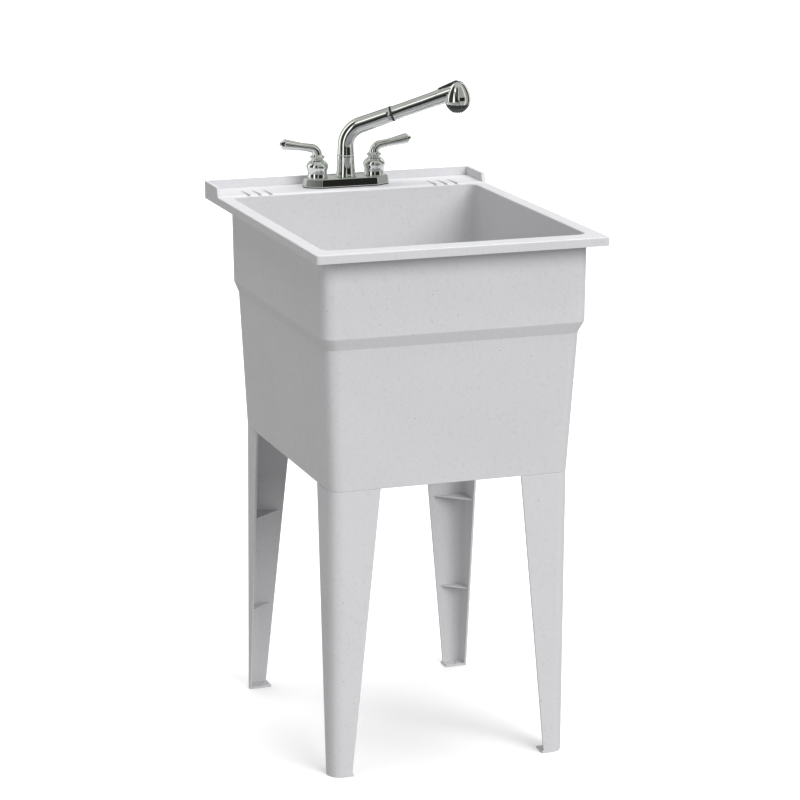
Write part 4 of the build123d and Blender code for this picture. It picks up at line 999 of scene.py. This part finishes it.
# Each light's name, property of strength, width in degrees and the way that it comes from.
LIGHTS = (
    ("front_light", "key", 40, (0.35, -1.0, 0.62)),
    ("top_light", "top", 60, (0.1, 0.1, 1.0)),
    ("side_light", "side", 60, (-1.0, -0.15, 0.2)),
)
LIGHT_DISTANCE = 4
FLOOR_SIZE = 120
FLOOR_ROUGHNESS = 0.9
FLOOR_TONE = 0.985

# Where the camera stands, and the ways that are right and up in its picture.
CAMERA_PLACE = (-1.5583948, -4.5636631, 1.7094171)
CAMERA_RIGHT = Vector((0.94607144, -0.32395476, -0.00146314))
CAMERA_UP = Vector((0.07707902, 0.22070879, 0.97228928))
CAMERA_SENSOR = 36
CAMERA_REACH = 200


def studio_world(look):
    """A soft room: even light on dull surfaces, and bands of light for bright ones to mirror."""
    world = bpy.data.worlds.new("studio")
    room = Shading(world)

    def bands(value, levels):
        stops = [(place, opaque(BAND_TINT, level)) for place, level in levels]
        return room.node("ShaderNodeValToRGB", {"stops": stops}, {0: value})

    x, y, z = room.split(room.node("ShaderNodeTexCoord", {}, {}, "Generated"))
    height = room.between(z, (-1.0, 1.0))
    heading = room.node("ShaderNodeMath", {"operation": "ARCTAN2"}, {0: x, 1: y * -1.0})
    around = room.between(heading, (radians(-180), radians(180)))
    behind = room.between(y, BACK_BLEND)
    level = room.mixed(behind, bands(height, LEVEL_FRONT), bands(height, LEVEL_BACK))
    horizon = room.mixed(bands(around, HORIZON_HEADINGS), grey(1.0), bands(height, HORIZON))
    upright = room.node("ShaderNodeVectorMath", {"operation": "MULTIPLY"}, {
        0: bands(around, UPRIGHT), 1: horizon})
    leaning = height * UPRIGHT_LEAN + around
    share = bands(height, UPRIGHT_HEIGHTS) * bands(leaning, UPRIGHT_HEADINGS)
    mirrored = room.mixed(share, level, upright)
    even = room.mixed(z > 0.0, grey(look.floor_light), grey(look.room))
    glossy = room.node("ShaderNodeLightPath", {}, {}, "Is Glossy Ray")
    lit = room.mixed(glossy, even, mirrored)
    shown = room.mixed(glossy.sibling("Is Camera Ray"), lit, grey(1.0))
    room.feed(room.nodes["Background"].inputs["Color"], shown)
    return world


class SINK_OT_stage(Step):
    """Set up the floor, the lights and the camera"""

    bl_idname = "sink.stage"
    bl_label = "Stage"

    def execute(self, context):
        look = context.scene.sink_stage
        self.lay_floor(context, look)
        self.hang_lights(context, look)
        context.scene.world = studio_world(look)
        self.place_camera(context, look)
        context.scene.view_settings.view_transform = "Standard"
        return {"FINISHED"}

    def lay_floor(self, context, look):
        deselect()
        bpy.ops.mesh.primitive_plane_add(size=FLOOR_SIZE, location=(0, 0, 0))
        floor = context.object
        floor.name = "floor"
        paper = Finish("floor_paper", Roughness=FLOOR_ROUGHNESS, Emission_Color=grey(1.0),
                       Emission_Strength=look.floor_glow)
        clouds = paper.between(paper.noise(3.0), NEARLY_ALL)
        paper.paint(paper.mixed(clouds, opaque(look.floor), opaque(look.floor, tone=FLOOR_TONE)))
        floor.data.materials.append(paper.material)
        floor.visible_glossy = floor.visible_diffuse = False

    def hang_lights(self, context, look):
        for name, strength, width, way in LIGHTS:
            bpy.ops.object.light_add(type="SUN", location=Vector(way) * LIGHT_DISTANCE)
            light = context.object
            light.name = name
            light.data.energy = getattr(look, strength)
            light.data.angle = radians(width)
            light.rotation_euler = Vector(way).to_track_quat("Z", "Y").to_euler()
            light.visible_glossy = False

    def place_camera(self, context, look):
        view = Matrix((CAMERA_RIGHT, CAMERA_UP, CAMERA_RIGHT.cross(CAMERA_UP))).transposed()
        bpy.ops.object.camera_add()
        camera = context.object
        camera.name = "camera"
        camera.matrix_world = Matrix.Translation(CAMERA_PLACE) @ view.to_4x4()
        camera.data.lens = look.lens
        camera.data.sensor_width = CAMERA_SENSOR
        camera.data.clip_end = CAMERA_REACH
        context.scene.camera = camera


# ---- panel and registration --------------------------------------------------
STEPS = (
    SINK_OT_tub, SINK_OT_legs, SINK_OT_faucet_base, SINK_OT_bonnets, SINK_OT_collar,
    SINK_OT_levers, SINK_OT_spout, SINK_OT_wand, SINK_OT_drain, SINK_OT_stopper,
    SINK_OT_hardware, SINK_OT_stage,
)
GROUPS = (
    ("sink_moulding", SinkMoulding),
    ("sink_faucet", SinkFaucet),
    ("sink_stage", SinkStage),
)


class SINK_PT_panel(bpy.types.Panel):
    """Sizes, colours and steps of the laundry sink"""

    bl_idname = "SINK_PT_panel"
    bl_label = "Laundry Sink"
    bl_space_type = "VIEW_3D"
    bl_region_type = "UI"
    bl_category = "Laundry Sink"

    def draw(self, context):
        for attribute, group in GROUPS:
            box = self.layout.box()
            for field in group.__annotations__:
                box.prop(getattr(context.scene, attribute), field)
        for step in STEPS:
            self.layout.operator(step.bl_idname)


def register():
    for attribute, group in GROUPS:
        bpy.utils.register_class(group)
        setattr(bpy.types.Scene, attribute, PointerProperty(type=group))
    for made in (*STEPS, SINK_PT_panel):
        bpy.utils.register_class(made)


def unregister():
    for made in (SINK_PT_panel, *reversed(STEPS)):
        bpy.utils.unregister_class(made)
    for attribute, group in reversed(GROUPS):
        delattr(bpy.types.Scene, attribute)
        bpy.utils.unregister_class(group)


def main():
    register()
    for step in STEPS:
        getattr(bpy.ops.sink, step.bl_idname.removeprefix("sink."))()


if __name__ == "__main__":
    main()
